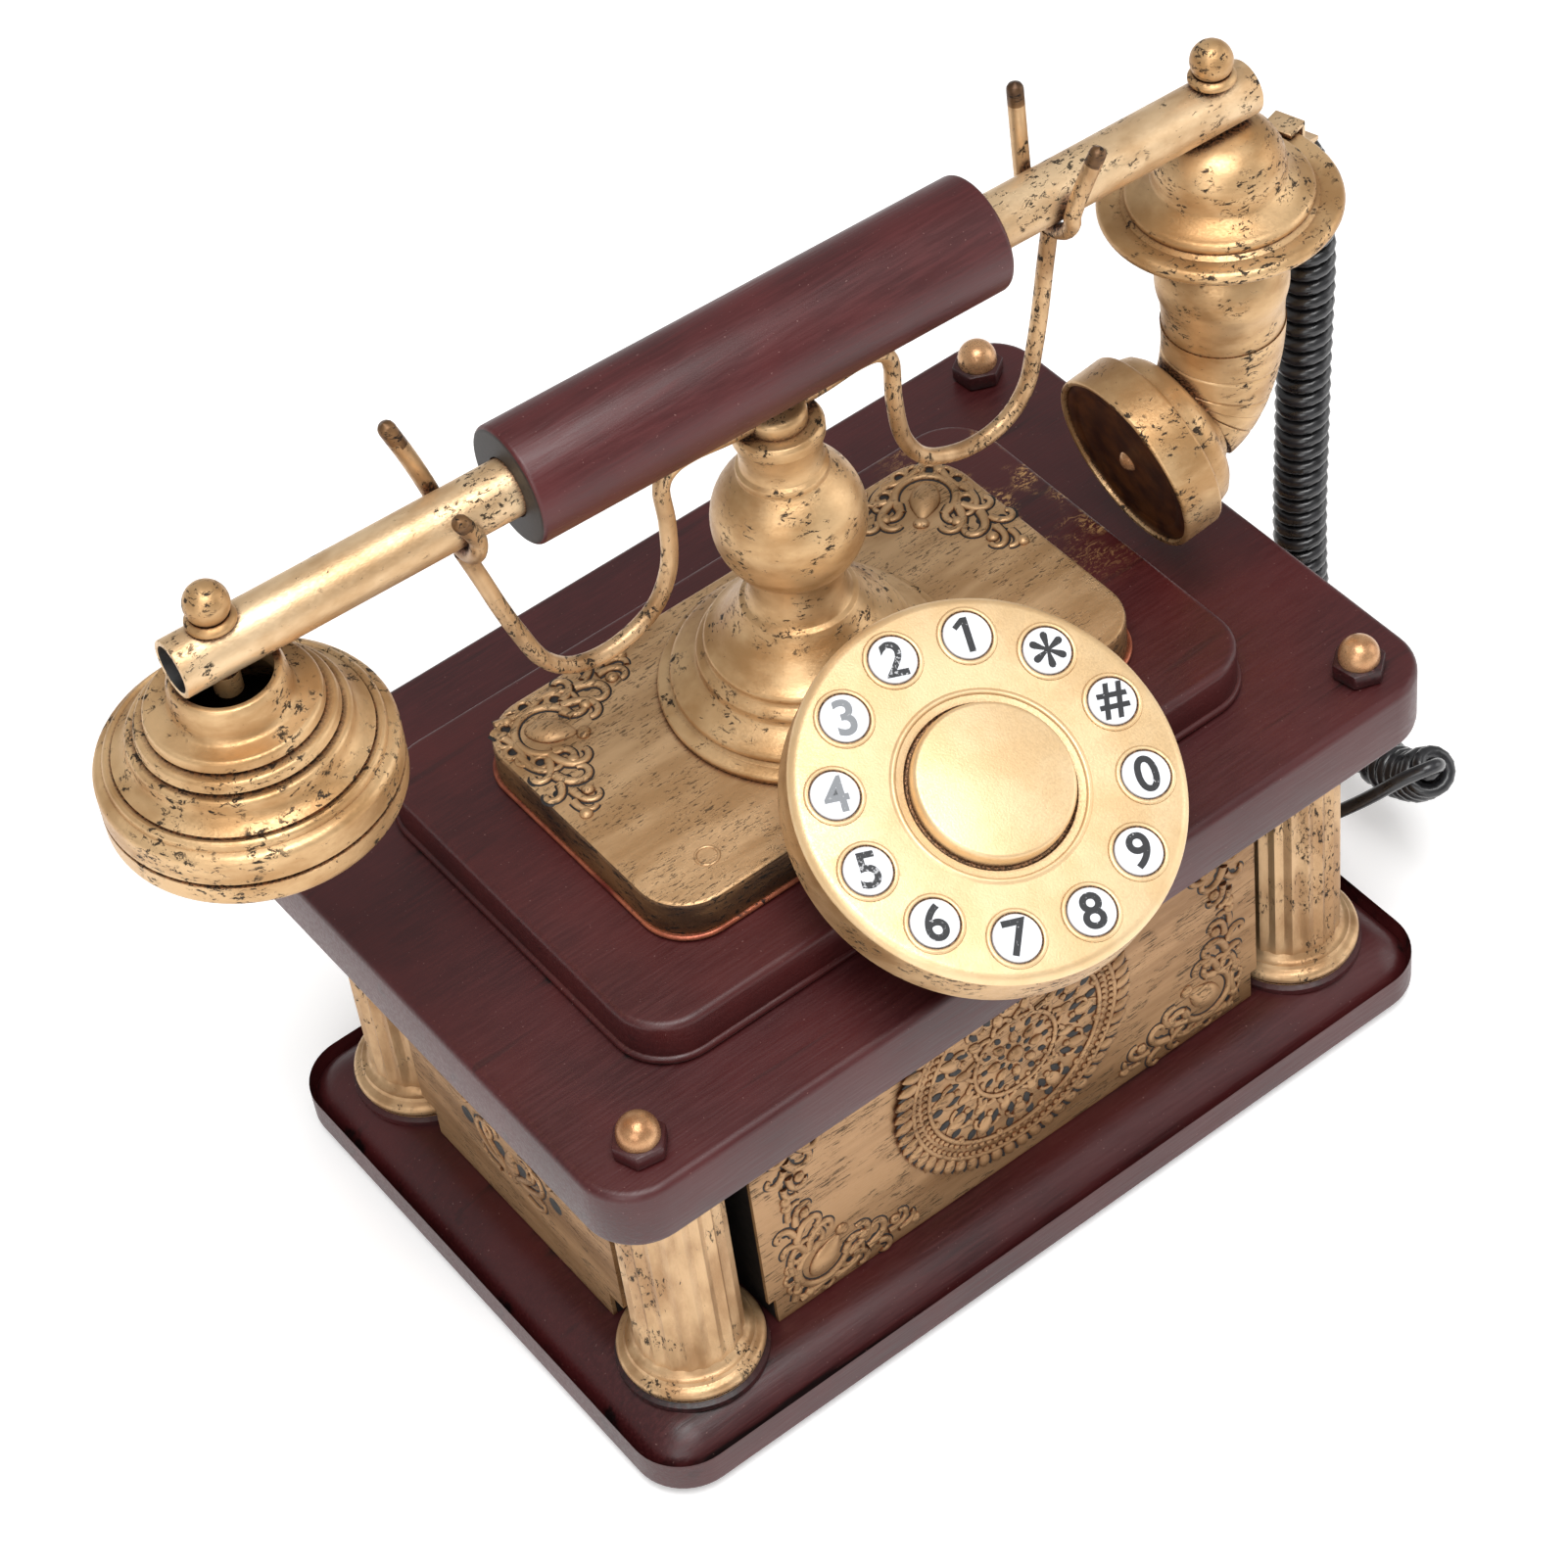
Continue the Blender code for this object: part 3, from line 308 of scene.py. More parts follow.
def burgundyPaint(name, light, deep, brush, chips=0.0, smudge=0.5):
    # chips: the X in metres past which the paint is chipped, or 0 for none
    material, shader = newMaterial(name, Metallic=0.0, IOR=1.5)
    # real bristle lines are finer: drawn near 1 mm so that they show
    lines = grain(material, burgundyLook["brushLine"], brush, 3.0, 0.6)
    cloud = grain(material, burgundyLook["cloud"], (1, 1, 1), 3.0)
    tone = between(material, cloud, 0.3, 0.7)
    paint = blendColour(material, tone, hexLinear(deep), hexLinear(light))
    streak = between(material, lines, 0.4, 0.7, 0.0, 0.6)
    paint = blendColour(material, streak, paint, hexLinear(light))
    soft = grain(material, burgundyLook["smudge"], brush, 4.0)
    soft = between(material, soft, 0.5, 0.72)
    # painted shade: the crevices darkened towards black, broken up by the smudge noise; the
    # dirt adds black smudges in random patches
    crevice = hollows(material, burgundyLook["hollowReach"])
    shadow = compute(material, "MULTIPLY", crevice, soft)
    dirt = between(material, soft, 0.6, 1.0)
    dirt = compute(material, "MULTIPLY", dirt, smudge * 0.8)
    shadow = compute(material, "MULTIPLY", compute(material, "ADD", shadow, dirt), 0.9)
    paint = blendColour(material, shadow, paint, hexLinear(burgundyLook["black"]))
    dust = grain(material, burgundyLook["dustGrain"], (1, 1, 1), 2.0, 0.4)
    dust = compute(material, "MULTIPLY", between(material, dust, 0.735, 0.76), 0.5)
    paint = blendColour(material, dust, paint, hexLinear(burgundyLook["dust"]))
    if chips:
        torn = grain(material, burgundyLook["chip"], (0.5, 1, 1), 6.0, 0.8, 1.2)
        torn = between(material, torn, 0.52, 0.55)
        region = grain(material, burgundyLook["chipRegion"], (1, 1, 1), 2.0)
        region = between(material, region, 0.40, 0.54)
        place = addNode(material, "ShaderNodeTexCoord")
        axes = addNode(
            material, "ShaderNodeSeparateXYZ", {"Vector": place.outputs["Object"]}
        )
        right = between(material, axes.outputs["X"], chips, chips + 0.015)
        back = between(material, axes.outputs["Y"], -0.015, 0.005)
        corner = compute(material, "MULTIPLY", right, back)
        region = compute(material, "MULTIPLY", region, corner)
        torn = compute(material, "MULTIPLY", torn, region)
        paint = blendColour(material, torn, paint, hexLinear(burgundyLook["undercoat"]))
    plug(material, paint, shader.inputs["Base Color"])
    rough = between(material, lines, 0.3, 0.7, 0.36, 0.47)
    plug(material, rough, shader.inputs["Roughness"])
    addBump(material, shader, lines, burgundyLook["bump"])
    return material


# name, lighter and deeper gold, wear, stretch of the brush, stroke size in mm,
# roughness, and how black the marks are
# turned pieces: bright satin gold, rubbed round their axis
ringGold = goldPaint("turnedGoldPaint", "D2AE80", "AC8456", 0.12, (0.6, 0.6, 1.3), 0.7)
# columns: the same, rubbed up and down the flutes
columnGold = goldPaint("columnGoldPaint", "CFAC82", "A68058", 0.08, (1.2, 1.2, 0.5), 0.6)
# the tube and the clip: paler, with long even highlights
barGold = goldPaint("handsetGoldPaint", "E0C29A", "BE9A70", 0.10, (0.6, 1.1, 1.1), 0.7)
# wires and forks: darker and more rubbed
wireGold = goldPaint("wireGoldPaint", "D3AF84", "9C7750", 0.17, (1, 1, 0.6), 0.7)
# front and rear sheet: dull brushed gold with fine strokes along the sheet
sheetGold = goldPaint(
    "brushedGoldSheet", "B48E66", "8E6A46", 0.17, (0.16, 1.3, 1.3), 0.42, 0.42, 0.7
)
# side sheet: the same, with its strokes along Y
sideGold = goldPaint(
    "brushedGoldSide", "B48E66", "8E6A46", 0.17, (1.3, 0.16, 1.3), 0.42, 0.42, 0.7
)
# the plate: brushed along X, a little brighter than the sheet
plateGold = goldPaint(
    "platePaint", "D0AB80", "AD875D", 0.18, (0.3, 1.3, 1.3), 0.42, 0.40, 0.72
)
# the dial: clean pale gold, hardly worn
dialGold = goldPaint("dialGoldPaint", "EBCDA0", "E2C090", -0.10, (1, 1, 1), 0.9, 0.40)
# acorn nuts and the microphone's knob: glossier, copper-tinged
nutGold = goldPaint("nutGoldPaint", "D0A377", "9C6A45", 0.04, (1, 1, 1), 0.7, 0.28)
# fork tips and the bracket: dark rubbed bronze; on the plate's side the same bronze is
# painted shade
bronze = goldPaint("darkBronzePaint", "86623E", "463020", 0.20, (0.5, 0.5, 1.4), 0.8, 0.40)
# the plate's foot: a thin red copper line
copperLine = goldPaint("copperEdgePaint", "B4694C", "6E2A22", 0.02, (1, 1, 1), 1.0, 0.32)

# base and deck: deep wine red with brush lines along X
burgundy = burgundyPaint("burgundyBoardPaint", "471617", "340E10", (0.12, 1.5, 1.5))
# the plinth: the same, chipped to its gold undercoat at the rear right
plinthBurgundy = burgundyPaint(
    "burgundyPlinthPaint", "491615", "360E0F", (0.12, 1.5, 1.5), 0.038
)
# the grip: a shade redder and cleaner
gripBurgundy = burgundyPaint(
    "burgundyGripPaint", "501A1B", "3A1112", (0.10, 1.4, 1.4), 0.0, 0.2
)
# seats of the columns and the nuts' hexagons: nearly black red
seatBurgundy = burgundyPaint("burgundySeatPaint", "3E1213", "1E090A", (1, 1, 1), 0.0, 1.0)


def blackPaint(name, code, roughness, size):
    # dull black with a paler brown cloud in it, so that it doesn't read as a void
    material, shader = newMaterial(name, Metallic=0.0, Roughness=roughness)
    fine = grain(material, size)
    cloud = between(material, fine, 0.35, 0.65)
    colour = blendColour(material, cloud, hexLinear(code), hexLinear("241E1B"))
    plug(material, colour, shader.inputs["Base Color"])
    addBump(material, shader, fine, 0.02)
    return material


linerBlack = blackPaint("blackLinerPaint", "0C0A09", 0.6, 1.2)
wornBlack = blackPaint("wornEndPaint", "2A2321", 0.55, 0.8)
plasticBlack = blackPaint("mouldedBlackPlastic", "121111", 0.42, 0.3)


def cordVinyl():
    # black vinyl: tight bright highlights along each turn, with faint mould haze
    material, shader = newMaterial(
        "glossBlackVinyl", Metallic=0.0, IOR=1.53, Coat_Weight=0.25
    )
    haze = grain(material, 2.5)
    cloud = between(material, haze, 0.35, 0.65)
    colour = blendColour(material, cloud, hexLinear("161618"), hexLinear("242427"))
    plug(material, colour, shader.inputs["Base Color"])
    rough = between(material, haze, 0.3, 0.7, 0.26, 0.36)
    plug(material, rough, shader.inputs["Roughness"])
    return material


def printedDisc():
    # white printed vinyl, faintly cool and a little dusty
    material, shader = newMaterial("whitePrintedVinyl", Metallic=0.0, IOR=1.5)
    dust = between(material, grain(material, 0.8, (1, 1, 1), 5.0), 0.62, 0.72)
    dust = compute(material, "MULTIPLY", dust, 0.4)
    colour = blendColour(material, dust, hexLinear("E9EBF0"), hexLinear("B4B2B0"))
    plug(material, colour, shader.inputs["Base Color"])
    rough = between(material, grain(material, 1.5), 0.3, 0.7, 0.36, 0.46)
    plug(material, rough, shader.inputs["Roughness"])
    return material


def ink(name, code, worn):
    # print ink, rubbed thin in places
    material, shader = newMaterial(name, Metallic=0.0, Roughness=0.5)
    rubbed = grain(material, 0.6, (1, 1, 1), 4.0)
    rubbed = between(material, rubbed, 0.66 - worn, 0.74 - worn)
    rubbed = compute(material, "MULTIPLY", rubbed, 0.75)
    colour = blendColour(material, rubbed, hexLinear(code), hexLinear("C9CACD"))
    plug(material, colour, shader.inputs["Base Color"])
    return material


cordBlack = cordVinyl()
discWhite = printedDisc()
digitInk = ink("charcoalInk", "26272A", 0.02)
chippedInk = ink("chippedInk", "2A2B2E", 0.12)
wornInk = ink("wornGreyInk", "83868A", 0.04)


def microphoneBrown():
    # dark varnish over gold, in soft clouds
    material, shader = newMaterial("brownVarnish", Metallic=0.35, IOR=1.5, Roughness=0.38)
    cloud = between(material, grain(material, 5.0, (1, 1, 1), 3.0), 0.35, 0.65)
    colour = blendColour(material, cloud, hexLinear("321810"), hexLinear("5A3418"))
    plug(material, colour, shader.inputs["Base Color"])
    return material


def plainMetal(name, code, roughness):
    # bare metal with fine drawn lines in its gloss
    material, shader = newMaterial(name, Metallic=1.0)
    fine = grain(material, 0.6, (1, 1, 0.2))
    colour = blendColour(material, fine, hexLinear(code), hexLinear("6E6A64"))
    plug(material, colour, shader.inputs["Base Color"])
    rough = between(material, fine, 0.3, 0.7, roughness, roughness + 0.15)
    plug(material, rough, shader.inputs["Roughness"])
    return material


def circuitGreen():
    # solder mask with paler copper tracks under it
    material, shader = newMaterial("greenSolderMask", Metallic=0.0, Roughness=0.35)
    tracks = between(material, grain(material, 3.0, (0.3, 2, 1), 0.0), 0.5, 0.52)
    colour = blendColour(material, tracks, hexLinear("14532F"), hexLinear("2B7A4B"))
    plug(material, colour, shader.inputs["Base Color"])
    return material


micBrown = microphoneBrown()
springSteel = plainMetal("drawnSpringSteel", "B7B8BA", 0.28)
bellBrass = plainMetal("spunBellBrass", "C9A35C", 0.24)
boardGreen = circuitGreen()
print("materials ready")


# ---- modelling tools
def deselectAll():
    bpy.ops.object.select_all(action="DESELECT")


def makeActive(piece):
    deselectAll()
    piece.select_set(True)
    bpy.context.view_layer.objects.active = piece


def settle(piece, place=Matrix()):
    # its place goes into its mesh, and the object back to the origin
    makeActive(piece)
    piece.matrix_world = place @ piece.matrix_world
    bpy.ops.object.transform_apply(location=True, rotation=True, scale=True)
    return piece


def soften(piece, width, segments=2, angle=28):
    makeActive(piece)
    bpy.ops.object.modifier_add(type="BEVEL")
    bevel = piece.modifiers[-1]
    bevel.width = width * mm
    bevel.segments = segments
    bevel.limit_method = "ANGLE"
    bevel.angle_limit = math.radians(angle)
    bpy.ops.object.modifier_apply(modifier=bevel.name)


def smooth(piece, angle=35):
    makeActive(piece)
    bpy.ops.object.shade_smooth_by_angle(angle=math.radians(angle))


def keep(piece, name, material, body, *nodes):
    # the finished piece: named, painted, and riding in the place of the CAD nodes
    piece.name = name
    piece.data.name = name
    if not piece.data.materials:
        piece.data.materials.append(material)
    if nodes:
        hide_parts(*nodes)
    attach(piece, body)


def turned(profile, sides=64, bevel=0.25):
    # (radius, height) pairs in mm, pulled up ring by ring as on a lathe
    bored = profile[0] == profile[-1]
    rings = [point for point in profile if point[0] > 0]
    radius, height = rings[0]
    deselectAll()
    bpy.ops.mesh.primitive_circle_add(
        vertices=sides,
        radius=radius * mm,
        fill_type="NOTHING" if bored else "NGON",
        location=(0, 0, height * mm),
    )
    piece = bpy.context.object
    bpy.ops.object.transform_apply(location=True)
    bpy.ops.object.mode_set(mode="EDIT")
    for nextRadius, nextHeight in rings[1:]:
        rise = (0, 0, (nextHeight - height) * mm)
        bpy.ops.mesh.extrude_region_move(TRANSFORM_OT_translate={"value": rise})
        factor = nextRadius / radius
        bpy.ops.transform.resize(value=(factor, factor, 1), center_override=(0, 0, 0))
        radius, height = nextRadius, nextHeight
    if profile[-1][0] == 0 and profile[-1][1] != height:
        rise = (0, 0, (profile[-1][1] - height) * mm)
        bpy.ops.mesh.extrude_region_move(TRANSFORM_OT_translate={"value": rise})
        bpy.ops.mesh.merge(type="CENTER")
    bpy.ops.mesh.select_all(action="SELECT")
    bpy.ops.mesh.remove_doubles(threshold=0.000002)
    bpy.ops.mesh.normals_make_consistent(inside=False)
    bpy.ops.object.mode_set(mode="OBJECT")
    if bevel:
        soften(piece, bevel)
    smooth(piece)
    return piece


def arc(radius, height, size, start, end, steps=8):
    # (radius, height) pairs along part of a circle, for a profile
    points = []
    for step in range(steps + 1):
        angle = math.radians(start + (end - start) * step / steps)
        points.append((radius + size * math.cos(angle), height + size * math.sin(angle)))
    return points


def slab(low, high, corner, edge):
    # a board with rounded corners and eased edges
    deselectAll()
    size = high - low
    bpy.ops.mesh.primitive_cube_add(size=1, location=(low + high) / 2)
    piece = bpy.context.object
    piece.scale = size
    bpy.ops.object.transform_apply(location=True, scale=True)
    bpy.ops.object.mode_set(mode="EDIT")
    bpy.ops.mesh.select_all(action="DESELECT")
    bpy.ops.object.mode_set(mode="OBJECT")
    for bar in piece.data.edges:
        a, b = (piece.data.vertices[i].co for i in bar.vertices)
        bar.select = abs(a.z - b.z) > size.z / 2
    bpy.ops.object.mode_set(mode="EDIT")
    bpy.ops.mesh.select_mode(type="EDGE")
    bpy.ops.mesh.bevel(offset=corner * mm, segments=12, affect="EDGES")
    bpy.ops.object.mode_set(mode="OBJECT")
    soften(piece, edge, 4, 50)
    smooth(piece, 30)
    return piece


def joined(pieces):
    deselectAll()
    for piece in pieces:
        piece.select_set(True)
    bpy.context.view_layer.objects.active = pieces[0]
    bpy.ops.object.join()
    return pieces[0]


def copyOf(source):
    # a copy with its own mesh
    copy = source.copy()
    copy.data = source.data.copy()
    bpy.context.collection.objects.link(copy)
    return copy


def repeated(source, places):
    # copies of one small piece, joined into one
    copies = []
    for place in places:
        copy = copyOf(source)
        copy.data.transform(place)
        copies.append(copy)
    bpy.data.objects.remove(source)
    return joined(copies)


def drilled(piece, drill):
    makeActive(piece)
    bpy.ops.object.modifier_add(type="BOOLEAN")
    cut = piece.modifiers[-1]
    cut.solver = "EXACT"
    cut.object = drill
    bpy.ops.object.modifier_apply(modifier=cut.name)
    bpy.data.objects.remove(drill)
    smooth(piece, 30)


def paintParts(piece, first, second, isSecond):
    # two paints on one piece: the second where the test of a face says so
    piece.data.materials.append(first)
    piece.data.materials.append(second)
    for face in piece.data.polygons:
        face.material_index = 1 if isSecond(face) else 0


def curvedPath(points, steps):
    # a smooth line through the points
    knots = [Vector(point) for point in points]
    padded = [2 * knots[0] - knots[1], *knots, 2 * knots[-1] - knots[-2]]
    path = []
    for before, start, end, after in zip(padded, padded[1:], padded[2:], padded[3:]):
        for step in range(steps):
            t = step / steps
            square = 2 * before - 5 * start + 4 * end - after
            cube = 3 * start - before - 3 * end + after
            place = 2 * start + (end - before) * t + square * t**2 + cube * t**3
            path.append(0.5 * place)
    path.append(knots[-1])
    return path


def rods(lines, radius, resolution=4):
    # round bars along lines of points; a point may hold a fourth number, its thickness
    deselectAll()
    bpy.ops.curve.primitive_nurbs_path_add()
    piece = bpy.context.object
    curve = piece.data
    curve.splines.clear()
    curve.dimensions = "3D"
    curve.bevel_depth = radius
    curve.bevel_resolution = resolution
    curve.use_fill_caps = True
    for line in lines:
        spline = curve.splines.new("POLY")
        spline.points.add(len(line) - 1)
        for point, place in zip(spline.points, line):
            point.co = (*place[:3], 1)
            point.radius = place[3] if len(place) > 3 else 1
    return piece


def asMesh(piece):
    makeActive(piece)
    bpy.ops.object.convert(target="MESH")
    return bpy.context.object


def roundedEnds(line, radius, steps=3):
    # thins a bar to nothing over its last radius, so that its ends are domes
    first, last = Vector(line[0]), Vector(line[-1])
    head = (first - Vector(line[1])).normalized() * radius
    tail = (last - Vector(line[-2])).normalized() * radius
    result = [(*point, 1) for point in line]
    for step in range(1, steps + 1):
        share = step / steps
        thin = math.sqrt(max(1 - share**2, 0.0004))
        result.insert(0, (*(first + head * share), thin))
        result.append((*(last + tail * share), thin))
    return result


# ---- the cord
cord = {
    "diameter": 2.6,
    "coilRadius": 3.6,
    "pitch": 3.1,
    "pointsPerTurn": 16,
    "length": 1.25,
    "clipTurns": 0.6,
    "footTurns": 0.8,
}
coilRoute = [
    (0.1063, 0.0008, 0.1465),
    (0.1064, 0.0008, 0.1430),
    (0.1080, 0.0009, 0.1350),
    (0.1086, 0.0008, 0.1200),
    (0.1076, 0.0007, 0.1000),
    (0.1068, 0.0006, 0.0800),
    (0.1062, 0.0005, 0.0600),
    (0.1060, -0.0005, 0.0420),
    (0.1060, -0.0050, 0.0270),
    (0.1055, -0.0140, 0.0185),
    (0.1045, -0.0240, 0.0170),
    (0.1032, -0.0330, 0.0220),
    (0.1015, -0.0395, 0.0305),
]
tailRoute = [
    (0.0998, -0.0425, 0.0352),
    (0.0970, -0.0430, 0.0368),
    (0.0930, -0.0403, 0.0345),
    (0.0885, -0.0362, 0.0295),
    (0.0835, -0.0315, 0.0248),
    (0.0790, -0.0275, 0.0222),
]


def helixAlong(path):
    # the cord's turns round the coil's line, opening from and closing to that line
    lengths = [0.0]
    for a, b in zip(path, path[1:]):
        lengths.append(lengths[-1] + (b - a).length)
    perTurn = cord["pointsPerTurn"]
    total = round(lengths[-1] / (cord["pitch"] * mm)) * perTurn
    side = Vector((0, 1, 0))
    points = []
    index = 0
    for step in range(total + 1):
        along = lengths[-1] * step / total
        while index < len(path) - 2 and lengths[index + 1] < along:
            index += 1
        span = lengths[index + 1] - lengths[index]
        share = (along - lengths[index]) / span
        centre = path[index].lerp(path[index + 1], share)
        ahead = (path[index + 1] - path[index]).normalized()
        side = (side - ahead * side.dot(ahead)).normalized()
        other = ahead.cross(side)
        angle = 2 * math.pi * step / perTurn
        atClip = step / (cord["clipTurns"] * perTurn)
        atFoot = (total - step) / (cord["footTurns"] * perTurn)
        opening = min(1, atClip, atFoot)
        reach = cord["coilRadius"] * mm * math.sin(opening * math.pi / 2)
        points.append(centre + (side * math.cos(angle) + other * math.sin(angle)) * reach)
    return points


def makeCord():
    exitPoint = middle("cord_gland")
    exitPoint.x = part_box("cord_gland")[1].x
    start = exitPoint + Vector((0.0003, 0, 0))
    before = start + Vector((0.002, 0, 0))
    tail = curvedPath([start, before, *reversed(tailRoute), coilRoute[-1]], 4)
    coil = helixAlong(curvedPath(coilRoute, 8))
    line = tail[:-1] + list(reversed(coil))
    piece = asMesh(rods([[tuple(point) for point in line]], cord["diameter"] / 2 * mm, 4))
    smooth(piece, 60)
    measured = sum((b - a).length for a, b in zip(line, line[1:]))
    print("cord length", round(measured, 3))
    piece.name = "handset_cord"
    piece.data.materials.append(cordBlack)
    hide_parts("curly_cord", "cord_tail")
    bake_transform(piece)


makeCord()
print("cord laid")


# ---- boards
boards = {
    "corner": 10.0,
    "edge": 1.5,
    "plinthCorner": 10.4,
    "beadHeight": 1.5,
    "beadStep": 0.7,
    "plateCorner": 9.2,
}


def makeBoards():
    for node in ("base_board", "deck_board"):
        low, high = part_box(node)
        board = slab(low, high, boards["corner"], boards["edge"])
        keep(board, node + "_painted", burgundy, "base", node)
    low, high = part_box("plinth_board")
    step = Vector((boards["beadStep"] * mm, boards["beadStep"] * mm, 0))
    beadTop = Vector((high.x, high.y, low.z + boards["beadHeight"] * mm))
    foot = slab(low, beadTop, boards["plinthCorner"], 0.7)
    innerCorner = boards["plinthCorner"] - boards["beadStep"]
    body = slab(low + step, high - step, innerCorner, 1.3)
    keep(joined([body, foot]), "plinth_painted", plinthBurgundy, "base", "plinth_board")


def makePlate():
    low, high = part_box("top_plate")
    step = Vector((0.6 * mm, 0.6 * mm, 0))
    body = slab(low + step, high - step, boards["plateCorner"], 0.8)
    # painted shade: every face not turned up, the plate's sides, takes the dark bronze
    paintParts(body, plateGold, bronze, lambda face: face.normal.z <= 0.75)
    keep(body, "top_plate_gilt", plateGold, "base", "top_plate")
    footTop = Vector((high.x, high.y, low.z + 1.0 * mm))
    foot = slab(low, footTop, boards["plateCorner"], 0.45)
    keep(foot, "top_plate_foot", copperLine, "base")


makeBoards()
makePlate()
print("boards made")

# ---- columns
column = {
    "flutes": 20,
    "perFlute": 6,
    "shaft": 9.4,
    "fluteDepth": 0.85,
    "roundness": 1.6,
    "plainEnd": 10,
    "endDepth": 0.35,
    "seat": 1.55,
    "foot": [(13.1, 0.0), (13.1, 1.1), (12.2, 1.5), (12.2, 1.7)],
}
corners = ("front_left", "front_right", "rear_left", "rear_right")


def columnHalf():
    # half the profile, from the end up to the shaft, then mirrored
    half = list(column["foot"])
    half += arc(11.3, 3.0, 1.35, -70, 80, 8)
    half += [(11.2, 4.5), (10.9, 5.1)]
    half += arc(10.9, 6.6, 1.5, 270, 190, 5)
    half += [(column["shaft"], 8.2), (column["shaft"], 10.5)]
    return half


def makeColumns():
    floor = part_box("base_board")[1].z
    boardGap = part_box("deck_board")[0].z - floor
    height = boardGap / mm
    half = columnHalf()
    profile = [(0, half[0][1])] + half
    profile += [(radius, height - z) for radius, z in reversed(half)]
    sides = column["flutes"] * column["perFlute"]
    source = turned(profile + [(0, height)], sides, 0)
    # the flutes: every sixth line of the shaft pushed in, with its neighbours half as far
    for vertex in source.data.vertices:
        flat = Vector((vertex.co.x, vertex.co.y))
        if abs(flat.length - column["shaft"] * mm) > 0.05 * mm:
            continue
        turn = math.atan2(flat.y, flat.x) / (2 * math.pi) * column["flutes"]
        depth = column["fluteDepth"] * abs(math.sin(turn * math.pi)) ** column["roundness"]
        fromMiddle = abs(vertex.co.z / mm - height / 2)
        if fromMiddle >= height / 2 - column["plainEnd"]:
            depth *= column["endDepth"]
        flat *= 1 - depth / column["shaft"]
        vertex.co.x, vertex.co.y = flat
    smooth(source, 24)

    def inSeat(face):
        fromEnd = min(face.center.z - floor, floor + boardGap - face.center.z)
        return fromEnd < column["seat"] * mm

    for corner in corners:
        piece = copyOf(source)
        place = middle("column_" + corner)
        settle(piece, Matrix.Translation((place.x, place.y, floor)))
        paintParts(piece, columnGold, seatBurgundy, inSeat)
        keep(piece, "column_" + corner + "_fluted", columnGold, "base", "column_" + corner)
    bpy.data.objects.remove(source)


makeColumns()
print("columns made")

# ---- acorn nuts
nut = {"flats": 8.2, "hexHeight": 3.0, "seatGap": 0.3, "dome": 3.5, "domeCentre": 4.2}


def makeNuts():
    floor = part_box("deck_board")[1].z
    overCorners = nut["flats"] / 2 / math.cos(math.radians(30))
    deselectAll()
    bpy.ops.mesh.primitive_cylinder_add(
        vertices=6,
        radius=overCorners * mm,
        depth=nut["hexHeight"] * mm,
        location=(0, 0, (nut["hexHeight"] / 2 + nut["seatGap"]) * mm),
    )
    hexagon = bpy.context.object
    bpy.ops.object.transform_apply(location=True)
    soften(hexagon, 0.45, 2, 50)
    smooth(hexagon, 30)
    dome = [(0, 3.0), (3.3, 3.0), (nut["dome"], 3.3)]
    dome += arc(0, nut["domeCentre"], nut["dome"], 0, 84, 12)
    dome.append((0, nut["domeCentre"] + nut["dome"]))
    ball = turned(dome, 40, 0.1)
    hexagon.data.materials.append(seatBurgundy)
    ball.data.materials.append(nutGold)
    source = joined([hexagon, ball])
    for corner in corners:
        piece = copyOf(source)
        place = middle("cap_nut_" + corner)
        spin = Matrix.Rotation(math.radians(rng.uniform(0, 60)), 4, "Z")
        settle(piece, Matrix.Translation((place.x, place.y, floor)) @ spin)
        keep(piece, "acorn_nut_" + corner, nutGold, "base", "cap_nut_" + corner)
    bpy.data.objects.remove(source)


makeNuts()
print("nuts made")

# ---- post and cradle
postShape = {"ball": 12.45, "ballHeight": 35.9}


def makePost():
    # (radius, height) in mm: the stepped foot, the waist, the ball, the neck, the collar
    ballHeight = postShape["ballHeight"]
    profile = [(0, 0), (24.7, 0)] + arc(24.1, 0.75, 0.7, -40, 70, 4)
    profile += [(22.6, 1.7), (22.4, 2.0)] + arc(21.4, 3.2, 1.15, -50, 75, 5)
    profile += [(20.6, 4.9), (18.6, 5.6), (17.9, 6.2)] + arc(16.9, 7.6, 1.0, -30, 80, 4)
    profile += [(16.3, 8.9), (16.2, 9.4)] + arc(15.4, 10.3, 0.95, -40, 80, 4)
    profile += [(14.6, 11.8), (13.0, 13.6), (11.2, 15.8), (10.0, 17.6), (9.6, 18.6)]
    profile += [(8.7, 19.0), (8.0, 20.6), (7.6, 22.6), (7.5, 24.6)]
    profile += arc(0, ballHeight, postShape["ball"], -53, 54, 16)
    profile += [(7.4, ballHeight + 10.6), (7.4, ballHeight + 11.5)]
    profile += [(6.7, ballHeight + 12.0)]
    profile += [(6.6, 50.0), (6.8, 52.6), (7.4, 53.6), (7.4, 55.4), (6.9, 56.1), (0, 56.1)]
    piece = turned(profile, 80, 0.15)
    settle(piece, Matrix.Translation((stackAt.x, stackAt.y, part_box("post")[0].z)))
    keep(piece, "post_turned", ringGold, "base", "post")


# sideways reach and height over the hub's seat, in mm
wireShape = [
    (4.6, 3.3),
    (9.5, 3.6),
    (15.0, 4.2),
    (19.2, 3.6),
    (21.5, 0.6),
    (21.4, -7.0),
    (22.3, -15.5),
    (25.6, -21.8),
    (31.2, -25.0),
    (37.2, -25.7),
    (42.6, -23.9),
    (46.6, -19.3),
]
# each fork's place along the tube, and each tip's lean and height, in mm
forks = {
    "left": {"x": -55.8, "front": (-2.8, 6.2), "rear": (-4.2, 14.5)},
    "right": {"x": 53.0, "front": (4.0, 10.5), "rear": (0.5, 15.5)},
}
wireRadius = 1.4
tubeRadius = 4.7
wireGap = 0.3


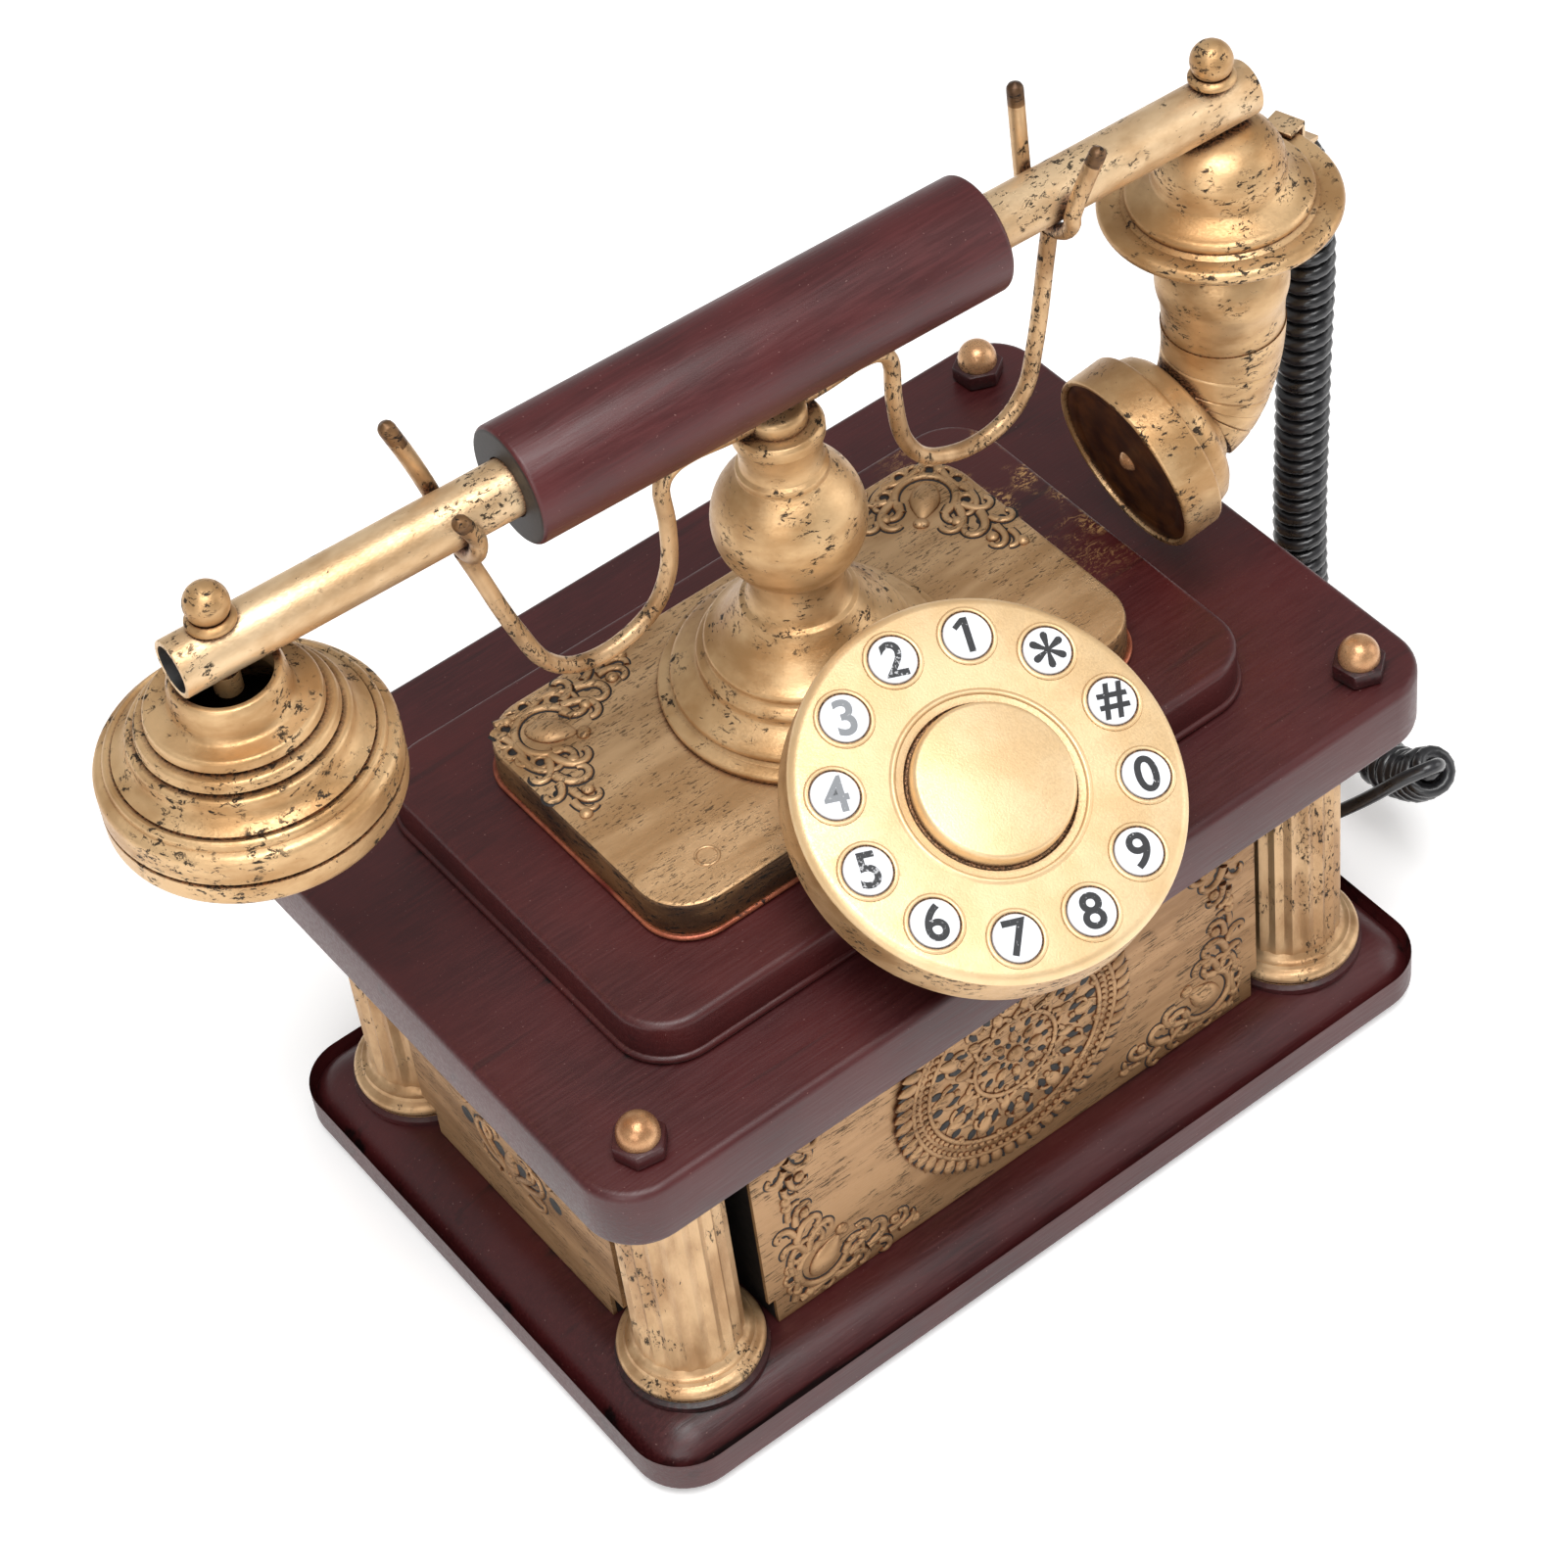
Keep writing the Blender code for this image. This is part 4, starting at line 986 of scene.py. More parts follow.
def makeCradle():
    hub = [(0, 0.2), (4.9, 0.2), (4.9, 3.2)] + arc(3.7, 3.4, 1.2, 0, 80, 5) + [(0, 4.65)]
    piece = turned(hub, 48, 0)
    settle(piece, cradleFrame)
    keep(piece, "cradle_hub_turned", ringGold, "cradle", "cradle_hub")
    axisHeight = (handsetFrame.translation.z - cradleSeat) / mm
    underTube = axisHeight - tubeRadius - wireGap - wireRadius
    for side, name in ((-1, "left"), (1, "right")):
        fork = forks[name]
        reach = abs(fork["x"])
        run = [(side * x, 0, z) for x, z in wireShape]
        bendX, bendZ = wireShape[-1]
        for share, bulge in ((0.25, 0.5), (0.5, 0.5), (0.75, 0.2), (1.0, 0.0)):
            x = bendX + (reach - 0.1 - bendX) * share + bulge
            run.append((side * x, 0, bendZ + (underTube - 0.9 - bendZ) * share))
        line = [tuple(point * mm) for point in curvedPath(run, 8)]
        wire = settle(asMesh(rods([line], wireRadius * mm, 6)), cradleFrame)
        smooth(wire)
        node = "cradle_wire_" + name
        keep(wire, node + "_bent", wireGold, "cradle", node)
        makeFork(name, fork, axisHeight)


def makeFork(name, fork, axisHeight):
    reach = tubeRadius + wireGap + wireRadius
    frontLean, frontHeight = fork["front"]
    rearLean, rearHeight = fork["rear"]
    x = fork["x"]
    run = [
        (x + frontLean, -reach - 1.6, axisHeight + frontHeight),
        (x + 0.45 * frontLean, -reach - 0.8, axisHeight + 0.5 * frontHeight),
    ]
    for angle in range(180, 361, 20):
        turn = math.radians(angle)
        run.append((x, reach * math.cos(turn), axisHeight + reach * math.sin(turn)))
    run.append((x + 0.45 * rearLean, reach + 0.6, axisHeight + 0.5 * rearHeight))
    run.append((x + rearLean, reach + 1.2, axisHeight + rearHeight))
    line = [tuple(point * mm) for point in curvedPath(run, 6)]
    piece = asMesh(rods([roundedEnds(line, wireRadius * mm)], wireRadius * mm, 6))
    settle(piece, cradleFrame)
    smooth(piece, 60)
    tubeAxis = handsetFrame.translation.z

    def atTip(face):
        height = (face.center.z - tubeAxis) / mm
        front = face.center.y < stackAt.y and height > frontHeight - 1.5
        return height > rearHeight - 3 or front

    paintParts(piece, wireGold, bronze, atTip)
    keep(piece, "fork_" + name + "_bent", wireGold, "cradle", "fork_" + name)


makePost()
makeCradle()
print("post and cradle made")


# ---- dial
def keySpots():
    # each key's name and its place on the dial's face
    step = 360 / len(dial["keys"])
    reach = dial["keyCircle"]
    places = []
    for index, key in enumerate(dial["keys"]):
        angle = math.radians(dial["firstKey"] + step * index)
        place = Vector((reach * math.cos(angle), reach * math.sin(angle), 0)) * mm
        places.append((key, place))
    return places


def makeDialFace():
    # a shallow pan with a raised hub, drilled for the keys
    outer = dial["radius"]
    hub = dial["hub"]
    rise = dial["hubRise"]
    inner = outer - dial["wall"]
    back = -dial["depth"]
    profile = [(0, -2.5), (inner, -2.5), (inner, back), (outer - 0.3, back)]
    profile += [(outer - 0.05, back + 0.3)] + arc(outer - 1.9, -1.9, 1.9, 0, 84, 8)
    profile += [(17.3, 0.0), (16.2, 0.0)] + arc(15.6, -0.15, 0.5, 50, 130, 5)
    profile += [(15.1, -0.1), (13.9, -0.2), (13.5, -0.7), (hub + 0.15, -0.7)]
    profile += [(hub + 0.05, rise - 0.9)] + arc(hub - 0.85, rise - 0.9, 0.85, 10, 85, 5)
    profile += [(0, rise)]
    face = turned(profile, 128, 0)
    deselectAll()
    bpy.ops.mesh.primitive_cylinder_add(
        vertices=40, radius=(dial["keyRadius"] + dial["keyGap"]) * mm, depth=12 * mm
    )
    places = [Matrix.Translation(spot) for key, spot in keySpots()]
    drilled(face, repeated(bpy.context.object, places))

    def onRim(side):
        reach = Vector((side.center.x, side.center.y)).length
        return reach > (outer - 1) * mm and side.center.z < -1.6 * mm

    paintParts(face, dialGold, ringGold, onRim)
    settle(face, dialFrame)
    keep(face, "dial_face_gilt", dialGold, "base", "dial_face")
    makeDialRings()


def makeDialRings():
    # the raised collar round each key
    deselectAll()
    bpy.ops.mesh.primitive_torus_add(
        major_radius=(dial["keyRadius"] + dial["collar"]) * mm,
        minor_radius=0.42 * mm,
        major_segments=48,
        minor_segments=12,
    )
    ring = bpy.context.object
    bpy.ops.transform.resize(value=(1, 1, 0.9))
    bpy.ops.object.transform_apply(scale=True)
    rings = repeated(ring, [Matrix.Translation(spot) for key, spot in keySpots()])
    smooth(rings, 60)
    settle(rings, dialFrame)
    keep(rings, "dial_key_collars", dialGold, "base")


def makeDigit(key, spot):
    mark = {"hash": "#", "star": "*"}.get(key, key)
    deselectAll()
    bpy.ops.object.text_add()
    piece = bpy.context.object
    text = piece.data
    text.body = mark
    text.align_x = "CENTER"
    text.align_y = "CENTER"
    text.size = dial["textSize"] * mm * (dial["starSize"] if key == "star" else 1)
    text.offset = dial["textSwell"] * mm
    text.extrude = dial["textThickness"] * mm
    piece = asMesh(piece)
    low = Vector([min(corner[i] for corner in piece.bound_box) for i in range(3)])
    high = Vector([max(corner[i] for corner in piece.bound_box) for i in range(3)])
    centred = Matrix.Translation(-(low + high) / 2)
    if key == "1":
        # the flag that this typeface leaves off
        bpy.ops.mesh.primitive_cube_add(size=1)
        flag = bpy.context.object
        flag.scale = (1.9 * mm, 0.85 * mm, high.z - low.z)
        flag.rotation_euler = (0, 0, math.radians(38))
        flag.location = (low.x - 0.55 * mm, high.y - 1.0 * mm, (low.z + high.z) / 2)
        bpy.ops.object.transform_apply(location=True, rotation=True, scale=True)
        piece = joined([piece, flag])
    lean = Matrix.Rotation(math.radians(dial["lean"]), 4, "Z")
    lift = Matrix.Translation(spot + Vector((0, 0, dial["digitLift"] * mm)))
    settle(piece, dialFrame @ lift @ lean @ centred)
    paint = digitInk
    if key in dial["worn"]:
        paint = wornInk
    elif key in dial["chipped"]:
        paint = chippedInk
    keep(piece, "digit_" + key, paint, "button_" + key)


def makeKeys():
    cap = dial["keyRadius"]
    profile = [(0, -3.5), (cap + 0.9, -3.5), (cap + 0.9, -2.8), (cap, -2.8), (cap, 0.1)]
    profile += arc(cap - 0.45, 0.15, 0.45, 0, 85, 4) + [(0, 0.62)]
    source = turned(profile, 48, 0)
    for key, spot in keySpots():
        piece = copyOf(source)
        settle(piece, dialFrame @ Matrix.Translation(spot))
        keep(piece, "key_" + key + "_cap", discWhite, "button_" + key, "key_" + key)
        makeDigit(key, spot)
    bpy.data.objects.remove(source)


makeDialFace()
makeKeys()
print("dial made")

# ---- handset, in mm on the tube's axis
handset = {
    "tubeLeft": -103.7,
    "tubeRight": 92.1,
    "tubeBore": 3.7,
    "gripLeft": -46.5,
    "gripRight": 39.5,
    "gripRadius": 9.8,
    "gripEdge": 0.9,
    "gripGap": 0.25,
    "mouth": 86.5,
    "cup": (64.75, 0.0, -65.1),
    "cupTilt": 9.5,
    "cupRadius": 16.6,
}
alongX = Matrix.Rotation(math.radians(90), 4, "Y")


def makeBar():
    left, right = handset["tubeLeft"], handset["tubeRight"]
    bore = handset["tubeBore"]
    profile = [(bore, left), (tubeRadius, left), (tubeRadius, right), (bore, right)]
    tube = turned(profile + [(bore, left)], 64, 0.3)

    def inBore(face):
        return Vector((face.center.x, face.center.y)).length < (bore + 0.15) * mm

    paintParts(tube, barGold, linerBlack, inBore)
    settle(tube, handsetFrame @ alongX)
    keep(tube, "handset_tube_gilt", barGold, "handset", "handset_tube")
    left, right = handset["gripLeft"], handset["gripRight"]
    radius = handset["gripRadius"]
    hole = tubeRadius + handset["gripGap"]
    edge = handset["gripEdge"]
    profile = [(hole, left), (radius - 1.0, left)]
    profile += arc(radius - edge, left + edge, edge, -80, 0, 4)
    profile += arc(radius - edge, right - edge, edge, 0, 80, 4)
    profile += [(radius - 1.0, right), (hole, right), (hole, left)]
    grip = turned(profile, 72, 0)
    paintParts(grip, gripBurgundy, wornBlack, lambda face: abs(face.normal.z) > 0.9)
    settle(grip, handsetFrame @ alongX)
    keep(grip, "handset_grip_painted", gripBurgundy, "handset", "handset_grip")


def makeFinials():
    profile = [(0, 5.05), (3.9, 5.05), (3.9, 5.7), (3.5, 6.1), (3.0, 6.4)]
    profile += arc(0, 8.55, 3.5, -50, 84, 14) + [(0, 12.05)]
    for name in ("left", "right"):
        place = middle("finial_" + name)
        piece = turned(profile, 40, 0.12)
        settle(piece, Matrix.Translation((place.x, place.y, handsetFrame.translation.z)))
        keep(piece, "ball_screw_" + name, ringGold, "handset", "finial_" + name)


earpiece = {
    "radius": 22.9,
    "bore": 7.2,
    "foot": -31.0,
    "holeCircle": 7.5,
    "holeRadius": 1.2,
    "holes": 6,
}


def makeEarpiece():
    # (radius, height) in mm: the drum, then stepped rings that widen down to the shell
    outer = earpiece["radius"]
    bore = earpiece["bore"]
    steps = [(bore, -9.5), (bore, -5.5)] + arc(8.0, -5.75, 0.55, 120, 10, 4)
    steps += [(8.9, -6.4), (9.2, -9.2)] + arc(10.6, -9.4, 1.3, 185, 260, 4)
    steps += [(12.2, -10.8)] + arc(12.6, -11.5, 0.75, 90, 0, 4)
    steps += [(13.5, -12.5), (13.0, -12.7), (13.0, -13.1)]
    steps += arc(14.4, -13.9, 0.75, 110, 0, 5) + [(15.4, -14.8), (14.8, -15.0)]
    steps += [(14.8, -15.4)] + arc(16.1, -16.2, 0.8, 120, 0, 5)
    steps += [(17.0, -17.2), (17.4, -18.1), (18.6, -19.0), (19.6, -19.4)]
    steps += [(19.4, -19.6), (19.5, -19.9)] + arc(20.3, -20.3, 0.8, 80, 0, 4)
    steps += [(21.2, -20.9)] + arc(21.4, -22.5, 1.5, 75, 0, 6)
    steps += [(outer, -26.0), (outer - 0.4, -26.15), (outer - 0.4, -26.4)]
    steps += [(18.0, -26.4), (bore, -9.5)]
    stud = [(0, -9.0), (2.2, -9.0), (2.2, -5.1), (0, -5.1)]
    place = middle("earpiece_shell")
    lift = Matrix.Translation((place.x, place.y, handsetFrame.translation.z))
    shell = joined([turned(steps, 96, 0), turned(stud, 24, 0.2)])
    settle(shell, lift)
    smooth(shell, 40)
    keep(shell, "earpiece_shell_stepped", ringGold, "handset", "earpiece_shell")
    foot = earpiece["foot"]
    cap = [(0, foot + 0.8), (16.0, foot + 0.8), (17.5, foot + 0.1), (21.2, foot)]
    cap += arc(outer - 1.4, foot + 1.4, 1.4, -80, 0, 6)
    cap += [(outer, -26.85), (outer - 0.4, -26.7), (0, -26.7)]
    face = turned(cap, 96, 0)
    holes = [Vector((0, 0, foot))]
    reach = earpiece["holeCircle"]
    for step in range(earpiece["holes"]):
        angle = 2 * math.pi * step / earpiece["holes"]
        holes.append(Vector((reach * math.cos(angle), reach * math.sin(angle), foot)))
    deselectAll()
    bpy.ops.mesh.primitive_cylinder_add(
        vertices=24, radius=earpiece["holeRadius"] * mm, depth=5 * mm
    )
    places = [Matrix.Translation(hole * mm) for hole in holes]
    drilled(face, repeated(bpy.context.object, places))
    settle(face, lift)
    keep(face, "earpiece_cap_drilled", ringGold, "handset", "earpiece_cap")


mouth = {
    "rim": -19.8,
    "elbowTop": -45.0,
    "elbowRadius": 10.45,
    "narrowing": 1.3,
    "grooves": (0.28, 0.52, 0.66, 0.8),
    "grooveDepth": 0.2,
    "grooveWidth": 0.014,
    "endRadius": 9.1,
    "cupBack": 15.2,
}


def makeMouthBell():
    # (radius, height) in mm: the socket, the neck, the flange and the dome
    rim = mouth["rim"]
    profile = [(0, rim - 26.2), (10.0, rim - 26.2), (10.2, rim - 25.6)]
    profile += [(10.2, rim - 23.6), (10.3, rim - 21.2)]
    profile += arc(2.2, rim - 16.2, 8.9, -20, 46, 12)
    profile += [(8.0, rim - 7.2), (8.0, rim - 4.0), (9.5, rim - 1.9), (12.0, rim - 1.6)]
    profile += [(17.0, rim - 1.6)] + arc(18.6, rim - 0.4, 1.35, -70, 80, 8)
    profile += [(17.2, rim + 0.55), (16.0, rim + 0.5), (15.5, rim + 0.9)]
    profile += arc(14.2, rim + 1.9, 1.2, -40, 80, 6)
    profile += [(13.0, rim + 3.6), (12.2, rim + 4.4), (11.2, rim + 5.0), (10.9, rim + 5.5)]
    profile += [(10.9, rim + 7.0), (10.5, rim + 9.4), (9.2, rim + 11.9), (7.2, rim + 13.7)]
    profile += [(4.6, rim + 14.6), (0, rim + 14.75)]
    piece = turned(profile, 88, 0)
    place = middle("mouth_bell")
    settle(piece, Matrix.Translation((place.x, place.y, handsetFrame.translation.z)))
    smooth(piece, 40)
    keep(piece, "mouth_bell_turned", ringGold, "handset", "mouth_bell")


def makeElbow():
    # a bent tube with narrow grooves across it
    tilt = math.radians(handset["cupTilt"])
    cupX, cupZ = handset["cup"][0], handset["cup"][2]
    endX = cupX + mouth["cupBack"] * math.cos(tilt)
    endZ = cupZ + mouth["cupBack"] * math.sin(tilt)
    sweep = math.radians(90) - tilt
    startX, startZ = handset["mouth"], mouth["elbowTop"]
    reachBack = (startX - endX) / (1 - math.cos(sweep))
    line = []
    steps = 90
    for step in range(steps + 1):
        share = step / steps
        turn = sweep * share
        x = startX - reachBack * (1 - math.cos(turn))
        z = startZ - (startZ - endZ) * math.sin(turn) / math.sin(sweep)
        away = min(abs(share - groove) for groove in mouth["grooves"])
        dip = mouth["grooveDepth"] * max(0, 1 - away / mouth["grooveWidth"])
        radius = mouth["elbowRadius"] - mouth["narrowing"] * share - dip
        line.append((x * mm, 0, z * mm, radius))
    line[-1] = (*line[-1][:3], mouth["endRadius"])
    elbow = asMesh(rods([line], 1 * mm, 22))
    smooth(elbow, 30)
    settle(elbow, handsetFrame)
    keep(elbow, "mouth_elbow_ringed", ringGold, "handset", "mouth_elbow")


def makeCup():
    tilt = math.radians(handset["cupTilt"])
    out = Vector((-math.cos(tilt), 0, -math.sin(tilt)))
    turn = Vector((0, 0, 1)).rotation_difference(out).to_matrix().to_4x4()
    place = handsetFrame @ Matrix.Translation(Vector(handset["cup"]) * mm) @ turn
    rim = handset["cupRadius"]
    # (radius, height) in mm, from the back of the cup to its rim
    profile = [(0, -14.9), (9.0, -14.9), (9.6, -14.0)]
    profile += [(11.2, -12.9), (13.0, -12.1), (14.1, -11.0), (14.6, -9.4), (14.7, -8.0)]
    profile += [(15.0, -7.7)] + arc(rim - 0.7, -7.0, 0.7, -60, 0, 3)
    profile += [(rim, -0.6)] + arc(rim - 0.5, -0.5, 0.5, 0, 90, 3)
    profile += [(rim - 0.9, -0.1), (rim - 1.1, -0.5), (rim - 1.1, -2.4), (0, -2.6)]
    cup = turned(profile, 88, 0)
    smooth(cup, 35)
    settle(cup, place)
    keep(cup, "mouth_cup_turned", ringGold, "handset", "mouth_cup")
    edge = rim - 1.15
    disc = [(0, -2.5), (edge, -2.5), (edge, -0.75), (edge - 0.5, -0.6)]
    disc += [(edge - 2.2, -0.65), (edge - 2.5, -0.85), (edge - 2.9, -0.9)]
    disc += [(8.6, -0.85), (8.2, -1.0), (3.0, -1.0)]
    plate = turned(disc + [(0, -1.0)], 72, 0)
    dome = [(0, -1.1), (2.0, -1.1)] + arc(0, -1.9, 2.05, 25, 80, 5) + [(0, 0.1)]
    knob = turned(dome, 32, 0)
    plate.data.materials.append(micBrown)
    knob.data.materials.append(nutGold)
    face = joined([plate, knob])
    smooth(face, 35)
    settle(face, place)
    keep(face, "microphone_disc", micBrown, "handset", "mic_capsule")


def makeClip():
    # the bent strap over the flange's rim, softened from the CAD's outline
    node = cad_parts["cord_clip"]
    clip = node.copy()
    clip.data = node.data.copy()
    clip.parent = None
    bpy.context.collection.objects.link(clip)
    for key in list(clip.keys()):
        del clip[key]
    clip.matrix_world = node.matrix_world
    clip.data.materials.clear()
    settle(clip)
    bpy.ops.object.mode_set(mode="EDIT")
    bpy.ops.mesh.select_all(action="SELECT")
    bpy.ops.mesh.remove_doubles(threshold=0.000005)
    bpy.ops.mesh.dissolve_limited(angle_limit=math.radians(2))
    bpy.ops.object.mode_set(mode="OBJECT")
    soften(clip, 0.18, 2, 30)
    smooth(clip, 40)
    keep(clip, "cord_clip_bent", barGold, "handset", "cord_clip")


makeBar()
makeFinials()
makeEarpiece()
makeMouthBell()
makeElbow()
makeCup()
makeClip()
print("handset made")


# ---- scrollwork: every stroke is a line whose bend grows, so that its end curls up
def curl(x, y, heading, length, bendStart, bendEnd, thick=0.55, thin=0.3, steps=22):
    # bends are in degrees per mm
    line = []
    angle = math.radians(heading)
    stride = length / steps
    for step in range(steps + 1):
        share = step / steps
        line.append((x * mm, y * mm, 0.1 * mm, thick + (thin - thick) * share))
        angle += math.radians(bendStart + (bendEnd - bendStart) * share) * stride
        x += math.cos(angle) * stride
        y += math.sin(angle) * stride
    return line


def circleLine(radius, thick, steps=96, centre=(0, 0), start=0, sweep=360):
    x, y = centre
    line = []
    for step in range(steps + 1):
        angle = math.radians(start + sweep * step / steps)
        across, up = x + radius * math.cos(angle), y + radius * math.sin(angle)
        line.append((across * mm, up * mm, 0.1 * mm, thick))
    return line


def mirrored(line):
    # the same stroke on the other side of the diagonal
    return [(y, x, z, thick) for x, y, z, thick in line]


def strokesMesh(lines, height=0.9):
    piece = asMesh(rods(lines, 1 * mm, 2))
    piece.scale = (1, 1, height)
    makeActive(piece)
    bpy.ops.object.transform_apply(scale=True)
    return piece


def outlined(lines, spread=0.45):
    # the same strokes wider and nearly flat, a dark band along them that is painted shadow
    wide = []
    for line in lines:
        wide.append([(x, y, 0.02 * mm, thick + spread) for x, y, z, thick in line])
    return strokesMesh(wide, 0.2)


def bead(radius, height=1.0, segments=12, rings=8):
    deselectAll()
    bpy.ops.mesh.primitive_uv_sphere_add(
        segments=segments, ring_count=rings, radius=radius * mm
    )
    piece = bpy.context.object
    bpy.ops.transform.resize(value=(1, 1, height))
    bpy.ops.object.transform_apply(scale=True)
    return piece


def leaf(length, width, height, sharp=0.55):
    # a teardrop boss: a sphere drawn to a point at +X
    piece = bead(1.0, 1.0, 20, 12)
    for vertex in piece.data.vertices:
        along = vertex.co.x / mm
        taper = 1 - sharp * max(along, 0) ** 1.5
        vertex.co.x *= length / 2
        vertex.co.y *= width / 2 * taper
        vertex.co.z *= height * taper
    return piece


def spots(points):
    return [Matrix.Translation((x * mm, y * mm, 0.05 * mm)) for x, y in points]


def holeDisc(size):
    # a flat black oval that reads as a pierced hole
    return bead(size, 0.12, 14, 6)


cornerBoss = {
    "place": (8.6, 8.6),
    "length": 9.0,
    "width": 5.4,
    "height": 1.5,
    "frame": 5.2,
    "holeCircle": 6.9,
    "holes": 9,
}


def cornerOrnament():
    # a rocaille corner in its own plane: the corner at the origin, arms along +X and +Y
    lines = []
    half = [
        curl(13.0, 5.2, 20, 9.5, -4, 44, 0.95, 0.6),
        curl(13.6, 4.6, -28, 7.5, 6, -60, 0.9, 0.55),
        curl(17.0, 3.4, 12, 10.0, 2, 50, 0.95, 0.55),
        curl(19.0, 3.0, -20, 6.5, 0, -70, 0.8, 0.5),
        curl(21.5, 3.6, 5, 7.0, -6, 62, 0.85, 0.5),
        curl(12.4, 6.2, 75, 7.0, -8, -62, 0.85, 0.5),
        curl(2.4, 1.4, 8, 10.0, 4, -16, 0.85, 0.6),
        curl(9.6, 1.5, 0, 9.0, -2, 28, 0.8, 0.5),
        curl(23.6, 2.4, -4, 5.0, 0, 56, 0.75, 0.5),
    ]
    for line in half:
        lines += [line, mirrored(line)]
    bossX, bossY = cornerBoss["place"]
    frameCentre = (bossX - 0.6, bossY - 0.6)
    lines.append(circleLine(cornerBoss["frame"], 0.75, 30, frameCentre, 85, 280))
    # painted shadow: a dark band along every stroke
    shadow = outlined(lines)
    strokes = strokesMesh(lines)
    turn = Matrix.Rotation(math.radians(45), 4, "Z")
    bossAt = [Matrix.Translation((bossX * mm, bossY * mm, 0)) @ turn]
    boss = leaf(cornerBoss["length"], cornerBoss["width"], cornerBoss["height"])
    boss = repeated(boss, bossAt)
    tips = [(27.0, 2.4), (16.2, 7.6), (12.2, 12.6), (23.0, 5.6), (4.4, 2.0)]
    tips += [(y, x) for x, y in tips]
    beads = repeated(bead(1.15, 0.8), spots(tips))
    # a row of small rings round the boss, each with a hole in it
    holes = []
    reach = cornerBoss["holeCircle"]
    for step in range(cornerBoss["holes"]):
        angle = math.radians(135 + 180 * step / (cornerBoss["holes"] - 1))
        x = bossX - 0.4 + reach * math.cos(angle)
        holes.append((x, bossY - 0.4 + reach * math.sin(angle)))
    rings = strokesMesh([circleLine(1.3, 0.5, 12, hole) for hole in holes])
    more = [(14.6, 5.9), (18.6, 4.6), (11.4, 3.0), (20.4, 1.5), (15.6, 2.6), (23.2, 3.2)]
    more += [(y, x) for x, y in more]
    # painted shadow: a flat dark leaf a little larger than the boss, under it
    under = leaf(cornerBoss["length"] + 1.0, cornerBoss["width"] + 1.0, 0.12)
    under = repeated(under, bossAt)
    dark = joined([repeated(holeDisc(0.95), spots(holes + more)), shadow, under])
    return joined([strokes, boss, beads, rings]), dark


def placeOrnament(name, relief, dark, place, material):
    # the dark piece: black ovals for the pierced holes, and painted shadow along the
    # strokes and round the bosses
    for source, label, paint in (
        (relief, "relief", material),
        (dark, "pierced", linerBlack),
    ):
        piece = settle(copyOf(source), place)
        if place.to_3x3().determinant() < 0:
            # mirrored, so its faces are turned out again
            bpy.ops.object.mode_set(mode="EDIT")
            bpy.ops.mesh.select_all(action="SELECT")
            bpy.ops.mesh.normals_make_consistent(inside=False)
            bpy.ops.object.mode_set(mode="OBJECT")
        smooth(piece, 60)
        keep(piece, name + "_" + label, paint, "base")


def basis(origin, xAxis, yAxis, zAxis):
    matrix = Matrix((xAxis, yAxis, zAxis)).transposed().to_4x4()
    matrix.translation = origin
    return matrix


def makeCornerOrnaments():
    relief, dark = cornerOrnament()
    plateLow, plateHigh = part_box("top_plate")
    inset = 1.6 * mm
    for name, x, xAxis in (
        ("plate_rear_left", plateLow.x + inset, (1, 0, 0)),
        ("plate_rear_right", plateHigh.x - inset, (-1, 0, 0)),
    ):
        origin = (x, plateHigh.y - inset, plateHigh.z - 0.1 * mm)
        place = basis(origin, xAxis, (0, -1, 0), (0, 0, 1))
        placeOrnament(name, relief, dark, place, plateGold)
    # two small raised circles near the plate's front
    deselectAll()
    bpy.ops.mesh.primitive_torus_add(
        major_radius=1.9 * mm, minor_radius=0.3 * mm, major_segments=32, minor_segments=8
    )
    dots = [
        Matrix.Translation((x, plateLow.y + 8.5 * mm, plateHigh.z - 0.05 * mm))
        for x in (plateLow.x + 13 * mm, plateHigh.x - 13 * mm)
    ]
    circles = repeated(bpy.context.object, dots)
    smooth(circles, 60)
    keep(circles, "plate_circles", plateGold, "base")
    panelLow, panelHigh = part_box("front_panel")
    inset = 0.8 * mm
    for sideName, x, xAxis in (
        ("left", panelLow.x, (1, 0, 0)),
        ("right", panelHigh.x, (-1, 0, 0)),
    ):
        edge = x + xAxis[0] * (2.9 * mm + inset)
        for level, z, zAxis in (
            ("lower", panelLow.z + inset, (0, 0, 1)),
            ("upper", panelHigh.z - inset, (0, 0, -1)),
        ):
            origin = (edge, panelLow.y + 0.1 * mm, z)
            place = basis(origin, xAxis, zAxis, (0, -1, 0))
            name = "front_" + level + "_" + sideName
            placeOrnament(name, relief, dark, place, sheetGold)
    bpy.data.objects.remove(relief)
    bpy.data.objects.remove(dark)


makeCornerOrnaments()
print("corner ornaments made")

# ---- lace medallion on the front panel
lace = {
    "radius": 25.6,
    "teeth": 52,
    "toothLean": 24,
    "outerBeads": 84,
    "innerBeads": 76,
    "petals": 12,
}


def around(count, reach, spin=0.0, offset=0.0):
    # places round a circle, each turned to face out and then spun
    out = Matrix.Translation((reach * mm, 0, 0)) @ Matrix.Rotation(spin, 4, "Z")
    step = 2 * math.pi / count
    return [Matrix.Rotation(step * (k + offset), 4, "Z") @ out for k in range(count)]


def turnedLine(line, angle):
    c, s = math.cos(angle), math.sin(angle)
    return [(x * c - y * s, x * s + y * c, z, t) for x, y, z, t in line]


